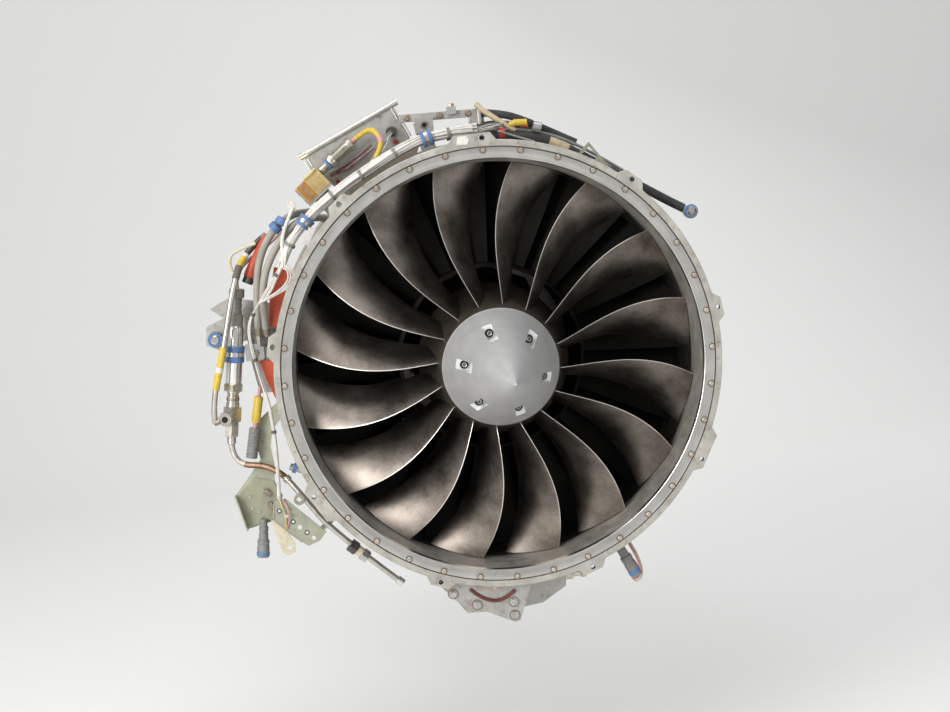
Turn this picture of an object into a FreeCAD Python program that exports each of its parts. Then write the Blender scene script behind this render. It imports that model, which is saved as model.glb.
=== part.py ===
"""Small two-spool turbofan engine with a wide-chord fan, seen bare of its cowls.

Millimetres. X points right as seen from the front, Y points aft along the engine axis, Z points up.
The origin is the centre of the front face that the inlet cowl is bolted against.
A radius is counted from the axis and a station is a place along Y.
Angles are in degrees, from +X towards +Z, so they run anticlockwise as seen from the front.
"""
import FreeCAD, Part
import math
import os

from FreeCAD import Vector

# ---------------------------------------------------------------- fan and spinner
FAN_TIP_RADIUS = 265.1
TIP_CLEARANCE = 0.9
BLADE_COUNT = 16
BLADE_PHASE = 171.4            # angle of one blade's leading edge at the tip
BLADE_WRAP_ROOT = 10.5         # angle that a blade covers, seen from the front
BLADE_WRAP_TIP = 15.5
BLADE_LEAN = (0.9, 9.6, 5.8, 0.0)          # leading edge angle ahead of the tip, as a Bezier curve
BLADE_SWEEP = (9.9, -10.1, 17.4, 43.4)     # leading edge station, as a Bezier curve
BLADE_BACK_ROOT = 84.0         # trailing edge station
BLADE_BACK_TIP = 76.0
BLADE_CAMBER_ROOT = 0.75
BLADE_CAMBER_TIP = 0.15
BLADE_THICK_ROOT = 8.5
BLADE_THICK_TIP = 3.0
BLADE_SECTIONS = 6
BLADE_EXCESS = 0.03            # part of the span that is modelled past each end, then trimmed
SPINNER_RADIUS = 76.9
SPINNER_LENGTH = 180.9
SPINNER_BACK_Y = -6.9
SPINNER_FLOOR_Y = -42.0        # floor of the screw pockets
SPINNER_FLANGE = 6.0
SPINNER_SEAT_GAP = 0.4
SPINNER_WALL = 10.0
SPINNER_SCREW_COUNT = 6
SPINNER_SCREW_RADIUS = 51.4
SPINNER_SCREW_PHASE = 46.7
SPINNER_SCREW_HEAD = 9.0       # across the head
SPINNER_SCREW_HEIGHT = 5.0
POCKET_WIDTH = 13.0
HUB_BACK_RADIUS = 102.0
HUB_BACK_Y = 90.0
HUB_RIM = 8.0
HUB_NOSE_RADIUS = 57.0
HUB_WEB_BACK_Y = 40.0
FAN_NUT_FLATS = 50.0
FAN_NUT_LENGTH = 14.0

# ---------------------------------------------------------------- inlet lip ring and fan case
CASE_BORE_RADIUS = FAN_TIP_RADIUS + TIP_CLEARANCE
CASE_WALL = 13.5
CASE_OUTER_RADIUS = CASE_BORE_RADIUS + CASE_WALL
CASE_END_Y = 190.0
LIP_HEIGHT = 19.1              # from the bore to the ring's outer edge
LIP_LAND = 7.5                 # width of the flat land that carries the screws
LIP_EDGE_RISE = 5.0
LIP_OUTER_RADIUS = CASE_BORE_RADIUS + LIP_HEIGHT
LIP_EDGE_RADIUS = CASE_BORE_RADIUS + LIP_EDGE_RISE
LIP_FRONT_Y = -1.2             # the lip ring stands a little proud of the flange
LIP_EDGE_Y = -0.4
LIP_CONE_BACK_Y = 30.0         # where the inlet's cone ends in the straight bore
LIP_FLANGE = 6.0
JOINT_GAP = 0.8                # the dark line between lip ring and flange
FLANGE_THICKNESS = 9.0
FLANGE_LAND = 8.7
FLANGE_RADIUS = LIP_OUTER_RADIUS + JOINT_GAP + FLANGE_LAND
FRAME_RISE = 12.5              # of the frame ring above the case's barrel
FRAME_RADIUS = CASE_OUTER_RADIUS + FRAME_RISE
LUG_COUNT = 9
LUG_PHASE = 90.0
LUG_HOLE_RADIUS = 3.25
LUG_HOLE_RISE = 2.4            # of the holes' circle above the flange
LUG_RISE = 8.8
LUG_CIRCLE_RADIUS = FLANGE_RADIUS + LUG_HOLE_RISE
LUG_TOP_WIDTH = 24.4
LUG_BASE_WIDTH = 39.5
WIDE_LUG_EVERY = 3             # each third lug is wide
WIDE_LUG_EXTRA = 23.0
WIDE_LUG_SHIFT = 2.5
VANE_COUNT = 32
VANE_FRONT_Y = 126.0
VANE_CHORD = 50.0
VANE_LEAN = 24.0               # how far a vane's front edge leans sideways
VANE_THICKNESS = 3.0
VANE_END_GAP = 0.3
DRAWN_CASE_RADIUS = 279.5      # what is carried outside the case was laid out round a case of this radius
CASE_SHIFT = CASE_OUTER_RADIUS - DRAWN_CASE_RADIUS

# ---------------------------------------------------------------- frame, duct and nozzle
FRAME_BORE_STEP = 1.0
FRAME_BORE_RADIUS = CASE_BORE_RADIUS + FRAME_BORE_STEP
FRAME_BACK_Y = 255.0
FRAME_STRUT_COUNT = 4
FRAME_STRUT_PHASE = 45.0
FRAME_STRUT_FRONT_Y = 196.0
FRAME_STRUT_CHORD = 52.0
FRAME_STRUT_THICKNESS = 12.0
SPLITTER_RADIUS = 128.0
SPLITTER_WALL = 5.0
SPLITTER_FRONT_Y = 112.0
CORE_INNER_RADIUS = 99.0
CORE_INNER_FRONT_Y = 96.0
HUB_BORE_FRONT_Y = 130.0
BEARING_OUTER_RADIUS = 44.0
BEARING_FIT = 0.05
BEARING_WIDTH = 18.0
HIDDEN_SIDES = 24              # of the ring-shaped pieces inside
MOUNT_PAD_RISE = 10.0
MOUNT_PAD_X = FRAME_RADIUS + MOUNT_PAD_RISE
MOUNT_PAD_LENGTH = 52.0
MOUNT_PAD_HEIGHT = 76.0
MOUNT_SOCKET_RADIUS = 12.7
MOUNT_SOCKET_DEPTH = 24.0
DUCT_WALL = 3.0
DUCT_STEP = 5.0                # of the duct's skin outside the frame's bore
DUCT_FRONT_RADIUS = FRAME_BORE_RADIUS + DUCT_STEP
DUCT_END_RADIUS = 230.0
DUCT_END_Y = 750.0
DUCT_FLANGE = 7.0
NOZZLE_FLANGE_RISE = 9.0
NOZZLE_EXIT_RADIUS = 192.0
NOZZLE_EXIT_Y = 1010.0
REAR_LUG_Y = 700.0
REAR_LUG_WIDTH = 46.0
REAR_LUG_THICKNESS = 14.0
REAR_LUG_REACH = 46.0
REAR_LUG_BORE_RADIUS = 6.35

# ---------------------------------------------------------------- core
CORE_RADIUS = 156.0
CORE_TAPER_Y = 600.0
CORE_END_RADIUS = 132.0
CORE_END_Y = 740.0
CORE_WALL = 4.0
FAN_SHAFT_RADIUS = 18.0
FAN_SHAFT_BACK_Y = 784.0
CORE_SHAFT_RADIUS = 26.0
CORE_SHAFT_BORE = 20.5
CORE_SHAFT_FRONT_Y = 232.0
CORE_SHAFT_BACK_Y = 636.0
IMPELLER_FRONT_Y = 290.0
IMPELLER_BACK_Y = 362.0
IMPELLER_EYE_RADIUS = 46.0
IMPELLER_RADIUS = 116.0
IMPELLER_INLET_RADIUS = 84.0
IMPELLER_TIP_WIDTH = 9.0
IMPELLER_BLADE_COUNT = 8
IMPELLER_BLADE_THICKNESS = 2.2
DIFFUSER_FRONT_Y = 366.0
DIFFUSER_THICKNESS = 10.0
TURBINE_BLADE_THICKNESS = 3.0
TURBINE_BLADE_LEAN = 35.0
CORE_WHEEL_FRONT_Y = 604.0
CORE_WHEEL_WIDTH = 26.0
CORE_WHEEL_RADIUS = 98.0
CORE_TURBINE_BLADE_COUNT = 12
FAN_WHEEL_FRONT_Y = 690.0
FAN_WHEEL_WIDTH = 26.0
FAN_WHEEL_RADIUS = 92.0
FAN_TURBINE_BLADE_COUNT = 16
BLADE_RUNNING_GAP = 1.5
REAR_BEARING_Y = 764.0
REAR_HUB_RADIUS = 58.0
REAR_STRUT_COUNT = 4
REAR_STRUT_THICKNESS = 7.0
REAR_FRAME_LENGTH = 44.0
CONE_LENGTH = 150.0
CONE_TIP_RADIUS = 14.0

# ---------------------------------------------------------------- left side: sensor and its tube
SENSOR_TOP = (-334.0, 80.0, 125.0)
SENSOR_BOTTOM = (-360.0, 80.0, -71.0)
SENSOR_STEPS = (               # from, to as parts of the whole length, flats, sides
    (0.255, 0.64, 21.6, 16), (0.64, 0.69, 24.0, 6))
PLUG_STEPS = ((0.0, 0.06, 20.0, 12), (0.06, 0.17, 15.0, 8), (0.17, 0.255, 18.5, 8))
FITTING_STEPS = ((0.69, 0.80, 16.0, 8), (0.80, 0.90, 17.0, 4), (0.90, 1.0, 17.5, 6))
CLAMP_SHARES = (0.385, 0.495)
STRAP_SHARES = (0.42, 0.46)
CUSHION_THICKNESS = 2.4
STRAP_THICKNESS = 1.0
STRAP_EAR = (-331.0, -306.0, 27.0, 50.0)   # low x, high x, low z, high z
STRAP_EAR_THICKNESS = 3.0
BRACKET_THICKNESS = 3.0
SHEET_THICKNESS = 2.0
FOOT_GAP = 0.1                 # a flat foot stands this far off the round barrel
FOOT_THICKNESS = 4.0
FOOT_LENGTH = 14.0
FOOT_WIDTH = 24.0
TUBE_RADIUS = 3.95
TUBE_SIDES = 6
HOSE_SIDES = 6
ELBOW_CENTRE = (-366.0, 68.0, -46.0)
ELBOW_FLATS = 18.0
ELBOW_LENGTH = 7.0
STEEL_TUBE_ROUTE = ((-290, 100, 192), (-320, 82, 172), (-337, 60, 134), (-358.5, 60, 46), (-380, 60, -24),
                    (-379, 68, -50))
SLEEVE_FROM_SHARE = 0.15
SLEEVE_TO_SHARE = 0.72
SLEEVE_FLATS = 11.0
DRAIN_TUBE_ROUTE = ((-360, 80, -71.4), (-365.2, 80, -110), (-306, 64, -113), (-272, 48, -156), (-238, 46, -206),
                    (-150, 44, -286))
COUPLING_FLATS = 17.0
COUPLING_LENGTH = 30.0
HOSE_RADIUS = 5.0
OUTER_HOSE_ROUTE = ((-222, 176, 214), (-226, 104, 218), (-263, 74, 216), (-300, 70, 172), (-310, 68, 110),
                    (-311, 80, 51.1))
INNER_HOSE_ROUTE = ((-211, 176, 204), (-214, 92, 210), (-250, 58, 210), (-290, 56, 160), (-303, 54, 110),
                    (-300, 80, 50.1))

# ---------------------------------------------------------------- wiring
HARNESS_RADIUS = 8.0
HARNESS_ROUTE = ((-2, 34, 309), (-44, 34, 307), (-94, 34, 297.5), (-212, 34, 232), (-260, 34, 183),
                 (-272, 38, 152))
WIRE_RADIUS = 3.5
WIRE_SIDES = 6
SENSOR_WIRE_ROUTE = ((-272.7, 38.1, 151.1), (-298, 42, 116), (-325, 56, 80), (-320, 68, 30), (-298, 46, -60),
                     (-304, 46, -156))
CLIP_RUNS = (1, 3)             # runs of the wiring that are clipped to the fan case
CLIP_EASE = 0.6
CLAMP_RING_FLATS = 22.0
CLAMP_LENGTH = 14.0
CLAMP_LEG = 9.0
CONNECTOR_START = (-209.4, 88.1, 270.2)
CONNECTOR_END = (-166.0, 95.0, 304.0)
CONNECTOR_STEPS = ((0.0, 0.28, 13.0, 8), (0.28, 0.42, 20.0, 12), (0.42, 0.88, 16.5, 12), (0.88, 1.0, 20.0, 8))
SLEEVED_LEAD_ROUTE = ((-165.8, 95, 304.2), (-153.5, 97, 313.8), (-136, 70, 322), (-122, 56, 296),
                      (-150, 45.8, 267))
BOX_ANGLE = 129.8
BOX_STAND_OFF = 42.5           # from the case to the box's underside
BOX_HEIGHT = 29.0
BOX_LOW_RADIUS = CASE_OUTER_RADIUS + BOX_STAND_OFF
BOX_STATIONS = (62.0, 100.0)
BOX_REACH = (-11.0, 30.0)      # along the tangent
BOX_STEP = 12.0                # where the box's cap meets its base
SLEEVED_PLUG_START = (-316.0, 80.0, -8.0)
SLEEVED_PLUG_END = (-336.5, 82.0, -103.0)
SLEEVED_PLUG_STEPS = ((0.0, 0.14, 5.0, 6), (0.14, 0.5, 12.0, 8), (0.5, 0.58, 7.0, 6), (0.58, 1.0, 16.0, 8))
LOOSE_PLUG_STEPS = ((0.0, 0.2, 10.0, 6), (0.2, 0.55, 13.0, 8), (0.55, 1.0, 17.0, 8))
LOOSE_PLUGS = (((-328, 84, -188), (-334, 84, -240)), ((134.6, 40, -245.2), (166, 40, -306)))
BLACK_HOSE_RADIUS = 6.0
BLACK_HOSE_ROUTE = ((-16, 62, 300), (45, 62, 299), (98, 62, 287), (180, 62, 236), (272, 62, 178),
                    (272, 24, 178))
HOSE_CLAMP_STATIONS = (30.0, 42.0)
HOSE_CLAMP_FLATS = 18.0

# ---------------------------------------------------------------- sheet and cast brackets
CONNECTOR_PLATE_Y = 112.0
CONNECTOR_PLATE = ((-229.3, 289.7), (-105.3, 347.7), (-86, 304), (-98, 266), (-133, 249.5), (-168, 227),
                   (-222, 273))
CONNECTOR_PLATE_FEET = (112.0, 125.0)
EDGE_ROD = ((-236, 113, 290), (-99.5, 113, 353.5))
EDGE_ROD_FLATS = 8.0
SIDE_PLATE_Y = 90.0
SIDE_PLATE = ((-280, -22), (-303, -38), (-325, -57), (-330, -80), (-325, -108), (-338, -124), (-362, -153),
              (-350, -201), (-314, -193), (-300, -160), (-309, -140), (-307, -116), (-310, -92), (-306, -70),
              (-294, -56), (-281, -50))
SIDE_PLATE_FEET = (187.0,)
SIDE_PLATE_TAB = ((-364, -153), (-362, -153), (-350, -201), (-352, -201))
SIDE_PLATE_TAB_DEPTH = 18.0
LOWER_PLATE_Y = 55.0
LOWER_PLATE = ((-311, -160), (-296, -158), (-246, -208), (-255, -219), (-271, -225), (-279, -219), (-313, -188))
LOWER_PLATE_HOLES = ((-305.6, -173.7), (-263.1, -214.7))
LOWER_PLATE_HOLE_COUNT = 6
LOWER_PLATE_HOLE_FLATS = 4.6
LOWER_PLATE_WEB_ANGLE = 219.5
LOWER_PLATE_WEB_REACH = 51.5   # out from the case
LOWER_PLATE_WEB_DEPTH = 36.0
CABLE_LUG = ((-318, -186), (-306, -186), (-288, -222), (-289, -232), (-299, -236), (-306, -231))
CABLE_LUG_EYE = (-296.5, -226.0)
CABLE_LUG_EYE_FLATS = 7.0
CAST_BRACKET_Y = 112.0
CAST_BRACKET_DEPTH = 12.0
CAST_BRACKET = ((-272, 73), (-310, 104), (-349, 110), (-374, 98), (-356, 84), (-381, 74), (-384, 50),
                (-366, 42), (-330, 52), (-277, 40))
CAST_BRACKET_FOOT = 168.0
ROUND_PLUG_CENTRE = (-370.0, 58.0)
ROUND_PLUG_FLATS = 20.0
ROUND_PLUG_DEPTH = 15.0
SEAL_STRIP_Y = 74.0
SEAL_STRIP_GAP = 0.9           # at the corners of the root, so that the chord between them clears the case
UPPER_SEAL = ((320, 152), (312, 159.4), (304.6, 166.3))    # radius, angle
UPPER_SEAL_ROOT = (166.3, 158.5, 151.0)
LOWER_SEAL = ((314, 175), (306, 180), (296, 186))
LOWER_SEAL_ROOT = (186.0, 180.5, 175.0)
SIDE_BRACKET_Y = 54.0
SIDE_BRACKET = ((127, 262), (146, 280), (170, 247), (192, 224), (186, 214), (125, 256))
SIDE_BRACKET_WINDOW = ((134, 263), (146, 274), (157, 259), (148, 253))
SIDE_BRACKET_FOOT = 56.5
TOP_BEAM_LOW = (-100.0, 84.0, 325.0)
TOP_BEAM_HIGH = (8.0, 94.0, 336.0)
TOP_LEG_WIDTH = 20.0
TOP_LEG_ANGLES = (102.5, 89.5)
STAY_ROD = ((3, 86, 342), (52, 70, 302))
STAY_ROD_FLATS = 8.0

# ---------------------------------------------------------------- accessories below the fan case
GEARBOX_NECK_STATIONS = (20.0, 60.0)
GEARBOX_NECK = ((14, -284), (12, -300), (-6, -330), (-80, -298), (-98, -274), (-70, -275.5), (0, -282))
GEARBOX_STATIONS = (60.0, 150.0)
GEARBOX_BODY = ((72, -292), (71, -316), (38, -336), (-8, -342), (-66, -340), (-92, -304), (-98, -272),
                (-70, -275.5), (0, -282), (70, -274))
COVER_Y = 14.0
COVER = ((18, -300), (1, -345), (-6, -347), (-84, -309), (-113, -275), (-108, -262.5), (-50, -279.5),
         (16, -284))
COVER_BOLTS = ((-86, -300), (-55, -318), (-6, -319), (-6, -337))
COVER_BOLT_FLATS = 9.0
COVER_BOLT_HEIGHT = 5.0
OIL_FITTING = ((72.1, 78, -303), (102, 78, -303))
OIL_FITTING_STEPS = ((0.0, 0.4, 17.0, 6), (0.4, 0.75, 12.0, 8), (0.75, 1.0, 16.0, 6))
STARTER = ((-36, 150, -325), (-36, 268, -325))
STARTER_STEPS = ((0.0, 0.08, 62.0, 16), (0.08, 1.0, 56.0, 16))
FUEL_PUMP = ((36, 150, -320), (36, 232, -320))
FUEL_PUMP_STEPS = ((0.0, 0.1, 52.0, 12), (0.1, 1.0, 42.0, 12))

# ---------------------------------------------------------------- helpers
AXIS_POINT = Vector(0, 0, 0)
AFT = Vector(0, 1, 0)
FORWARD = Vector(0, -1, 0)
FULL_TURN = 360.0
PATH_SHARE = 0.45              # part of a run that one bend may use


def polar(radius, degrees, station):
    """Point at a radius, an angle and a station."""
    angle = math.radians(degrees)
    return Vector(radius * math.cos(angle), station, radius * math.sin(angle))


def placed(point):
    """Laid-out point outside the case, moved out or in with the case's real radius."""
    x, station, z = point
    stretch = 1 + CASE_SHIFT / math.hypot(x, z)
    return Vector(x * stretch, station, z * stretch)


def polygon_face(points):
    """Flat face inside a closed outline."""
    return Part.Face(Part.makePolygon(list(points) + [points[0]]))


def outward(solid):
    """The same solid with its faces pointing outwards."""
    if solid.Volume < 0:
        solid.reverse()
    return solid


def turned(corners):
    """Solid turned about the engine axis from (radius, station) corners."""
    outline = [Vector(radius, station, 0) for radius, station in corners]
    return outward(polygon_face(outline).revolve(AXIS_POINT, AFT, FULL_TURN))


def faceted(corners, sides):
    """Solid like a turned one, but with flat facets, for pieces that are hidden inside."""
    faces = []
    for number in range(sides):
        first = FULL_TURN * number / sides
        last = FULL_TURN * (number + 1) / sides
        for (radius, station), (next_radius, next_station) in zip(corners, corners[1:] + corners[:1]):
            ring = [polar(radius, first, station), polar(next_radius, first, next_station)]
            if next_radius > 0:
                ring.append(polar(next_radius, last, next_station))
            if radius > 0:
                ring.append(polar(radius, last, station))
            if len(ring) > 2:
                faces.append(polygon_face(ring))
    return outward(Part.makeSolid(Part.makeShell(faces)))


def hoop(inner, outer, front, back):
    """Plain ring about the engine axis."""
    return turned([(inner, front), (outer, front), (outer, back), (inner, back)])


def at_angle(shape, degrees):
    """Copy of a shape, turned about the engine axis."""
    moved = shape.copy()
    moved.rotate(AXIS_POINT, FORWARD, degrees)
    return moved


def around(shape, count, first=0.0):
    """Evenly spaced copies about the engine axis."""
    return [at_angle(shape, first + FULL_TURN * number / count) for number in range(count)]


def rod(start, end, radius):
    """Round bar between two points."""
    along = end.sub(start)
    return Part.makeCylinder(radius, along.Length, start, along)


def prism(start, end, sides, flats):
    """Regular bar between two points, such as a hexagon nut or screw head."""
    along = end.sub(start)
    length = along.Length
    along.normalize()
    helper = Vector(0, 0, 1) if abs(along.z) < 0.9 else Vector(1, 0, 0)
    side = along.cross(helper)
    side.normalize()
    other = along.cross(side)
    reach = flats / 2 / math.cos(math.pi / sides)
    corners = []
    for number in range(round(sides)):
        angle = 2 * math.pi * number / round(sides)
        corners.append(start + side * (reach * math.cos(angle)) + other * (reach * math.sin(angle)))
    return outward(polygon_face(corners).extrude(along * length))


def block(low, high):
    """Box between two opposite corners."""
    size = high.sub(low)
    return Part.makeBox(size.x, size.y, size.z, low)


def faceted_ring(start, end, sides, inner_flats, outer_flats):
    """Ring with flat facets instead of round faces."""
    return prism(start, end, sides, outer_flats).cut(prism(start, end, sides, inner_flats))


def stepped(start, end, steps):
    """Turned-looking piece from coaxial prisms, given as (from, to, flats, sides)."""
    low = placed(start)
    along = placed(end).sub(low)
    pieces = [prism(low + along * first, low + along * last, sides, flats)
              for first, last, flats, sides in steps]
    return pieces[0].fuse(pieces[1:])


def plate(outline, station, thickness):
    """Flat plate square to the engine axis from laid-out (x, z) corners."""
    corners = [placed((x, station, z)) for x, z in outline]
    return outward(polygon_face(corners).extrude(AFT * thickness))


def foot(degrees, station):
    """Flat foot that stands on the barrel of the fan case."""
    low = Vector(CASE_OUTER_RADIUS + FOOT_GAP, station, -FOOT_WIDTH / 2)
    return at_angle(block(low, low + Vector(FOOT_THICKNESS, FOOT_LENGTH, FOOT_WIDTH)), degrees)


def bend(before, corner, after):
    """Arc that rounds one corner of a route, with its radius."""
    first = before.sub(corner)
    second = after.sub(corner)
    reach = PATH_SHARE * min(first.Length, second.Length)
    first.normalize()
    second.normalize()
    half_turn = (math.pi - first.getAngle(second)) / 2
    radius = reach / math.tan(half_turn)
    inward = first + second
    inward.normalize()
    start = corner + first * reach
    end = corner + second * reach
    middle = corner + inward * (radius / math.cos(half_turn) - radius)
    return start, middle, end, radius


def tube(name, route, radius, sides):
    """Faceted tube along straight runs joined by tangent bends."""
    points = [placed(point) for point in route]
    edges = []
    radii = []
    place = points[0]
    for before, corner, after in zip(points, points[1:], points[2:]):
        start, middle, end, bend_radius = bend(before, corner, after)
        edges.append(Part.LineSegment(place, start).toShape())
        edges.append(Part.Arc(start, middle, end).toShape())
        radii.append(bend_radius)
        place = end
    edges.append(Part.LineSegment(place, points[-1]).toShape())
    spine = Part.Wire(edges)
    first_run = points[1].sub(points[0])
    first_run.normalize()
    section = prism(points[0], points[0] + first_run, sides, 2 * radius * math.cos(math.pi / sides)).Faces
    section = min(section, key=lambda face: face.CenterOfMass.distanceToPoint(points[0])).OuterWire
    pipe = outward(spine.makePipeShell([section], True, False))
    area = sides / 2 * radius ** 2 * math.sin(2 * math.pi / sides)
    print(name, "length", round(spine.Length), "least bend radius", round(min(radii), 1),
          "volume to section times length", round(pipe.Volume / (area * spine.Length), 3))
    return pipe


def bezier(values, share):
    """Value of a cubic Bezier curve with four control values."""
    rest = 1 - share
    return (values[0] * rest ** 3 + 3 * values[1] * share * rest ** 2
            + 3 * values[2] * share ** 2 * rest + values[3] * share ** 3)


def between(first, last, share):
    """Value part of the way from one to another."""
    return first + (last - first) * share


# ---------------------------------------------------------------- fan rotor
def hub_radius(station):
    """Radius of the flow path on the fan hub."""
    share = (station - SPINNER_BACK_Y) / (HUB_BACK_Y - SPINNER_BACK_Y)
    return between(SPINNER_RADIUS, HUB_BACK_RADIUS, share)


def blade_section(share):
    """Outline of one blade section, flat, square to the blade's middle radius.

    The local X is the radius, Y is aft and Z is the tangent.
    """
    middle = BLADE_WRAP_TIP / 2
    radius = between(SPINNER_RADIUS, FAN_TIP_RADIUS, share)
    wrap = between(BLADE_WRAP_ROOT, BLADE_WRAP_TIP, share)
    front_angle = math.radians(bezier(BLADE_LEAN, share) + middle)
    back_angle = front_angle - math.radians(wrap)
    height = radius * math.cos(front_angle)
    front_y = bezier(BLADE_SWEEP, share)
    back_y = between(BLADE_BACK_ROOT, BLADE_BACK_TIP, share)
    front_t = height * math.tan(front_angle)
    back_t = height * math.tan(back_angle)
    camber = between(BLADE_CAMBER_ROOT, BLADE_CAMBER_TIP, share)
    thick = between(BLADE_THICK_ROOT, BLADE_THICK_TIP, share)
    run_y = back_y - front_y
    run_t = back_t - front_t
    sides = {1: [], -1: []}
    stations = 4
    for number in range(stations + 1):
        along = number / stations
        y = front_y + run_y * along
        t = front_t + run_t * (along * (1 + camber) - camber * along * along)
        slope_t = run_t * (1 + camber - 2 * camber * along)
        length = math.hypot(run_y, slope_t)
        half = thick * 2 * along * (1 - along)
        for side in sides:
            offset_y = -side * half * slope_t / length
            offset_t = side * half * run_y / length
            sides[side].append(Vector(height, y + offset_y, t + offset_t))
    edges = []
    for side in (1, -1):
        curve = Part.BSplineCurve()
        curve.interpolate(sides[side] if side == 1 else sides[side][::-1])
        edges.append(curve.toShape())
    return Part.Wire(edges)


def fan_blade():
    """One blade, trimmed to the tip circle and to just under the hub's surface."""
    sections = []
    for number in range(BLADE_SECTIONS):
        share = between(-BLADE_EXCESS, 1 + BLADE_EXCESS, number / (BLADE_SECTIONS - 1))
        sections.append(blade_section(share))
    blade = outward(Part.makeLoft(sections, True, False))
    sunk = HUB_RIM / 2
    front = min(BLADE_SWEEP) - HUB_RIM
    back = BLADE_BACK_ROOT + HUB_RIM
    room = turned([(hub_radius(front) - sunk, front), (FAN_TIP_RADIUS, front),
                   (FAN_TIP_RADIUS, back), (hub_radius(back) - sunk, back)])
    return blade.common(room).Solids[0]


def hub_nose_y():
    """Station of the hub's front face, which the spinner and the fan nut sit against."""
    return SPINNER_FLOOR_Y + SPINNER_FLANGE


def fan_rotor():
    """Fan disc and its blades, milled from one piece."""
    nose_y = hub_nose_y()
    seat_y = SPINNER_BACK_Y + SPINNER_SEAT_GAP
    hub = turned([
        (FAN_SHAFT_RADIUS, nose_y), (HUB_NOSE_RADIUS, nose_y), (HUB_NOSE_RADIUS, seat_y),
        (hub_radius(seat_y), seat_y), (HUB_BACK_RADIUS, HUB_BACK_Y), (HUB_BACK_RADIUS - HUB_RIM, HUB_BACK_Y),
        (FAN_SHAFT_RADIUS, HUB_WEB_BACK_Y)])
    middle = BLADE_PHASE - BLADE_WRAP_TIP / 2
    return hub.fuse(around(fan_blade(), BLADE_COUNT, middle))


def spinner():
    """Conical nose with a seat for the hub and six screw pockets."""
    tip_y = SPINNER_BACK_Y - SPINNER_LENGTH
    slope = SPINNER_RADIUS / SPINNER_LENGTH
    seat_y = hub_nose_y()
    seat_radius = HUB_NOSE_RADIUS + SPINNER_SEAT_GAP
    hollow_radius = SPINNER_SCREW_RADIUS - SPINNER_SCREW_HEAD
    hollow_tip = tip_y + (slope * (seat_y - tip_y) - hollow_radius) / slope + SPINNER_WALL
    cone = turned([
        (0, tip_y), (SPINNER_RADIUS, SPINNER_BACK_Y), (seat_radius, SPINNER_BACK_Y),
        (seat_radius, seat_y), (hollow_radius, seat_y), (0, hollow_tip)])
    pocket = block(Vector(SPINNER_SCREW_RADIUS - POCKET_WIDTH / 2, tip_y, -POCKET_WIDTH / 2),
                   Vector(SPINNER_RADIUS, SPINNER_FLOOR_Y, POCKET_WIDTH / 2))
    return cone.cut(around(pocket, SPINNER_SCREW_COUNT, SPINNER_SCREW_PHASE))


def spinner_screws():
    """Socket screws that hold the spinner."""
    head = prism(Vector(SPINNER_SCREW_RADIUS, SPINNER_FLOOR_Y - SPINNER_SCREW_HEIGHT, 0),
                 Vector(SPINNER_SCREW_RADIUS, SPINNER_FLOOR_Y, 0), 8, SPINNER_SCREW_HEAD)
    return Part.makeCompound(around(head, SPINNER_SCREW_COUNT, SPINNER_SCREW_PHASE))


def fan_nut():
    """Closed nut that clamps the fan on its shaft, inside the spinner."""
    back = hub_nose_y()
    return prism(Vector(0, back - FAN_NUT_LENGTH, 0), Vector(0, back, 0), 6, FAN_NUT_FLATS)


# ---------------------------------------------------------------- lip ring and fan case
def lip_radius(station):
    """Inner radius of the inlet's short cone."""
    share = (station - LIP_EDGE_Y) / (LIP_CONE_BACK_Y - LIP_EDGE_Y)
    return between(LIP_EDGE_RADIUS, CASE_BORE_RADIUS, share)


def inlet_lip_ring():
    """Bolted ring whose inner lip starts the fan duct."""
    return turned([
        (LIP_OUTER_RADIUS, LIP_FRONT_Y), (LIP_OUTER_RADIUS - LIP_LAND, LIP_FRONT_Y),
        (LIP_EDGE_RADIUS, LIP_EDGE_Y), (lip_radius(LIP_FLANGE), LIP_FLANGE), (LIP_OUTER_RADIUS, LIP_FLANGE)])


def lug(width_extra):
    """Flat ear on the flange, at angle zero, with chamfered sides."""
    top = (LUG_TOP_WIDTH + width_extra) / 2
    base = (LUG_BASE_WIDTH + width_extra) / 2
    root = LIP_OUTER_RADIUS + JOINT_GAP + (FLANGE_RADIUS - LIP_OUTER_RADIUS) / 3
    foot = math.sqrt(FLANGE_RADIUS ** 2 - base ** 2)
    crest = FLANGE_RADIUS + LUG_RISE
    outline = [Vector(root, 0, -base), Vector(foot, 0, -base), Vector(crest, 0, -top), Vector(crest, 0, top),
               Vector(foot, 0, base), Vector(root, 0, base)]
    return outward(polygon_face(outline).extrude(AFT * FLANGE_THICKNESS))


def fan_case():
    """Fan case with its front flange, nine ears and the seat of the lip ring."""
    inner = LIP_OUTER_RADIUS + JOINT_GAP
    case = turned([
        (inner, 0), (FLANGE_RADIUS, 0), (FLANGE_RADIUS, FLANGE_THICKNESS),
        (CASE_OUTER_RADIUS, FLANGE_THICKNESS), (CASE_OUTER_RADIUS, CASE_END_Y), (CASE_BORE_RADIUS, CASE_END_Y),
        (CASE_BORE_RADIUS, LIP_CONE_BACK_Y), (lip_radius(LIP_FLANGE), LIP_FLANGE), (inner, LIP_FLANGE)])
    ears = []
    holes = []
    for number in range(LUG_COUNT):
        angle = LUG_PHASE + FULL_TURN * number / LUG_COUNT
        front = polar(LUG_CIRCLE_RADIUS, angle, 0)
        deep = front + AFT * FLANGE_THICKNESS
        if number % WIDE_LUG_EVERY == 0:
            ears.append(at_angle(lug(WIDE_LUG_EXTRA), angle + WIDE_LUG_SHIFT))
            holes.append(rod(front, deep, LUG_HOLE_RADIUS))
        else:
            ears.append(at_angle(lug(0), angle))
            holes.append(prism(front, deep, TUBE_SIDES, 2 * LUG_HOLE_RADIUS))
    return case.fuse(ears).cut(holes)


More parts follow.
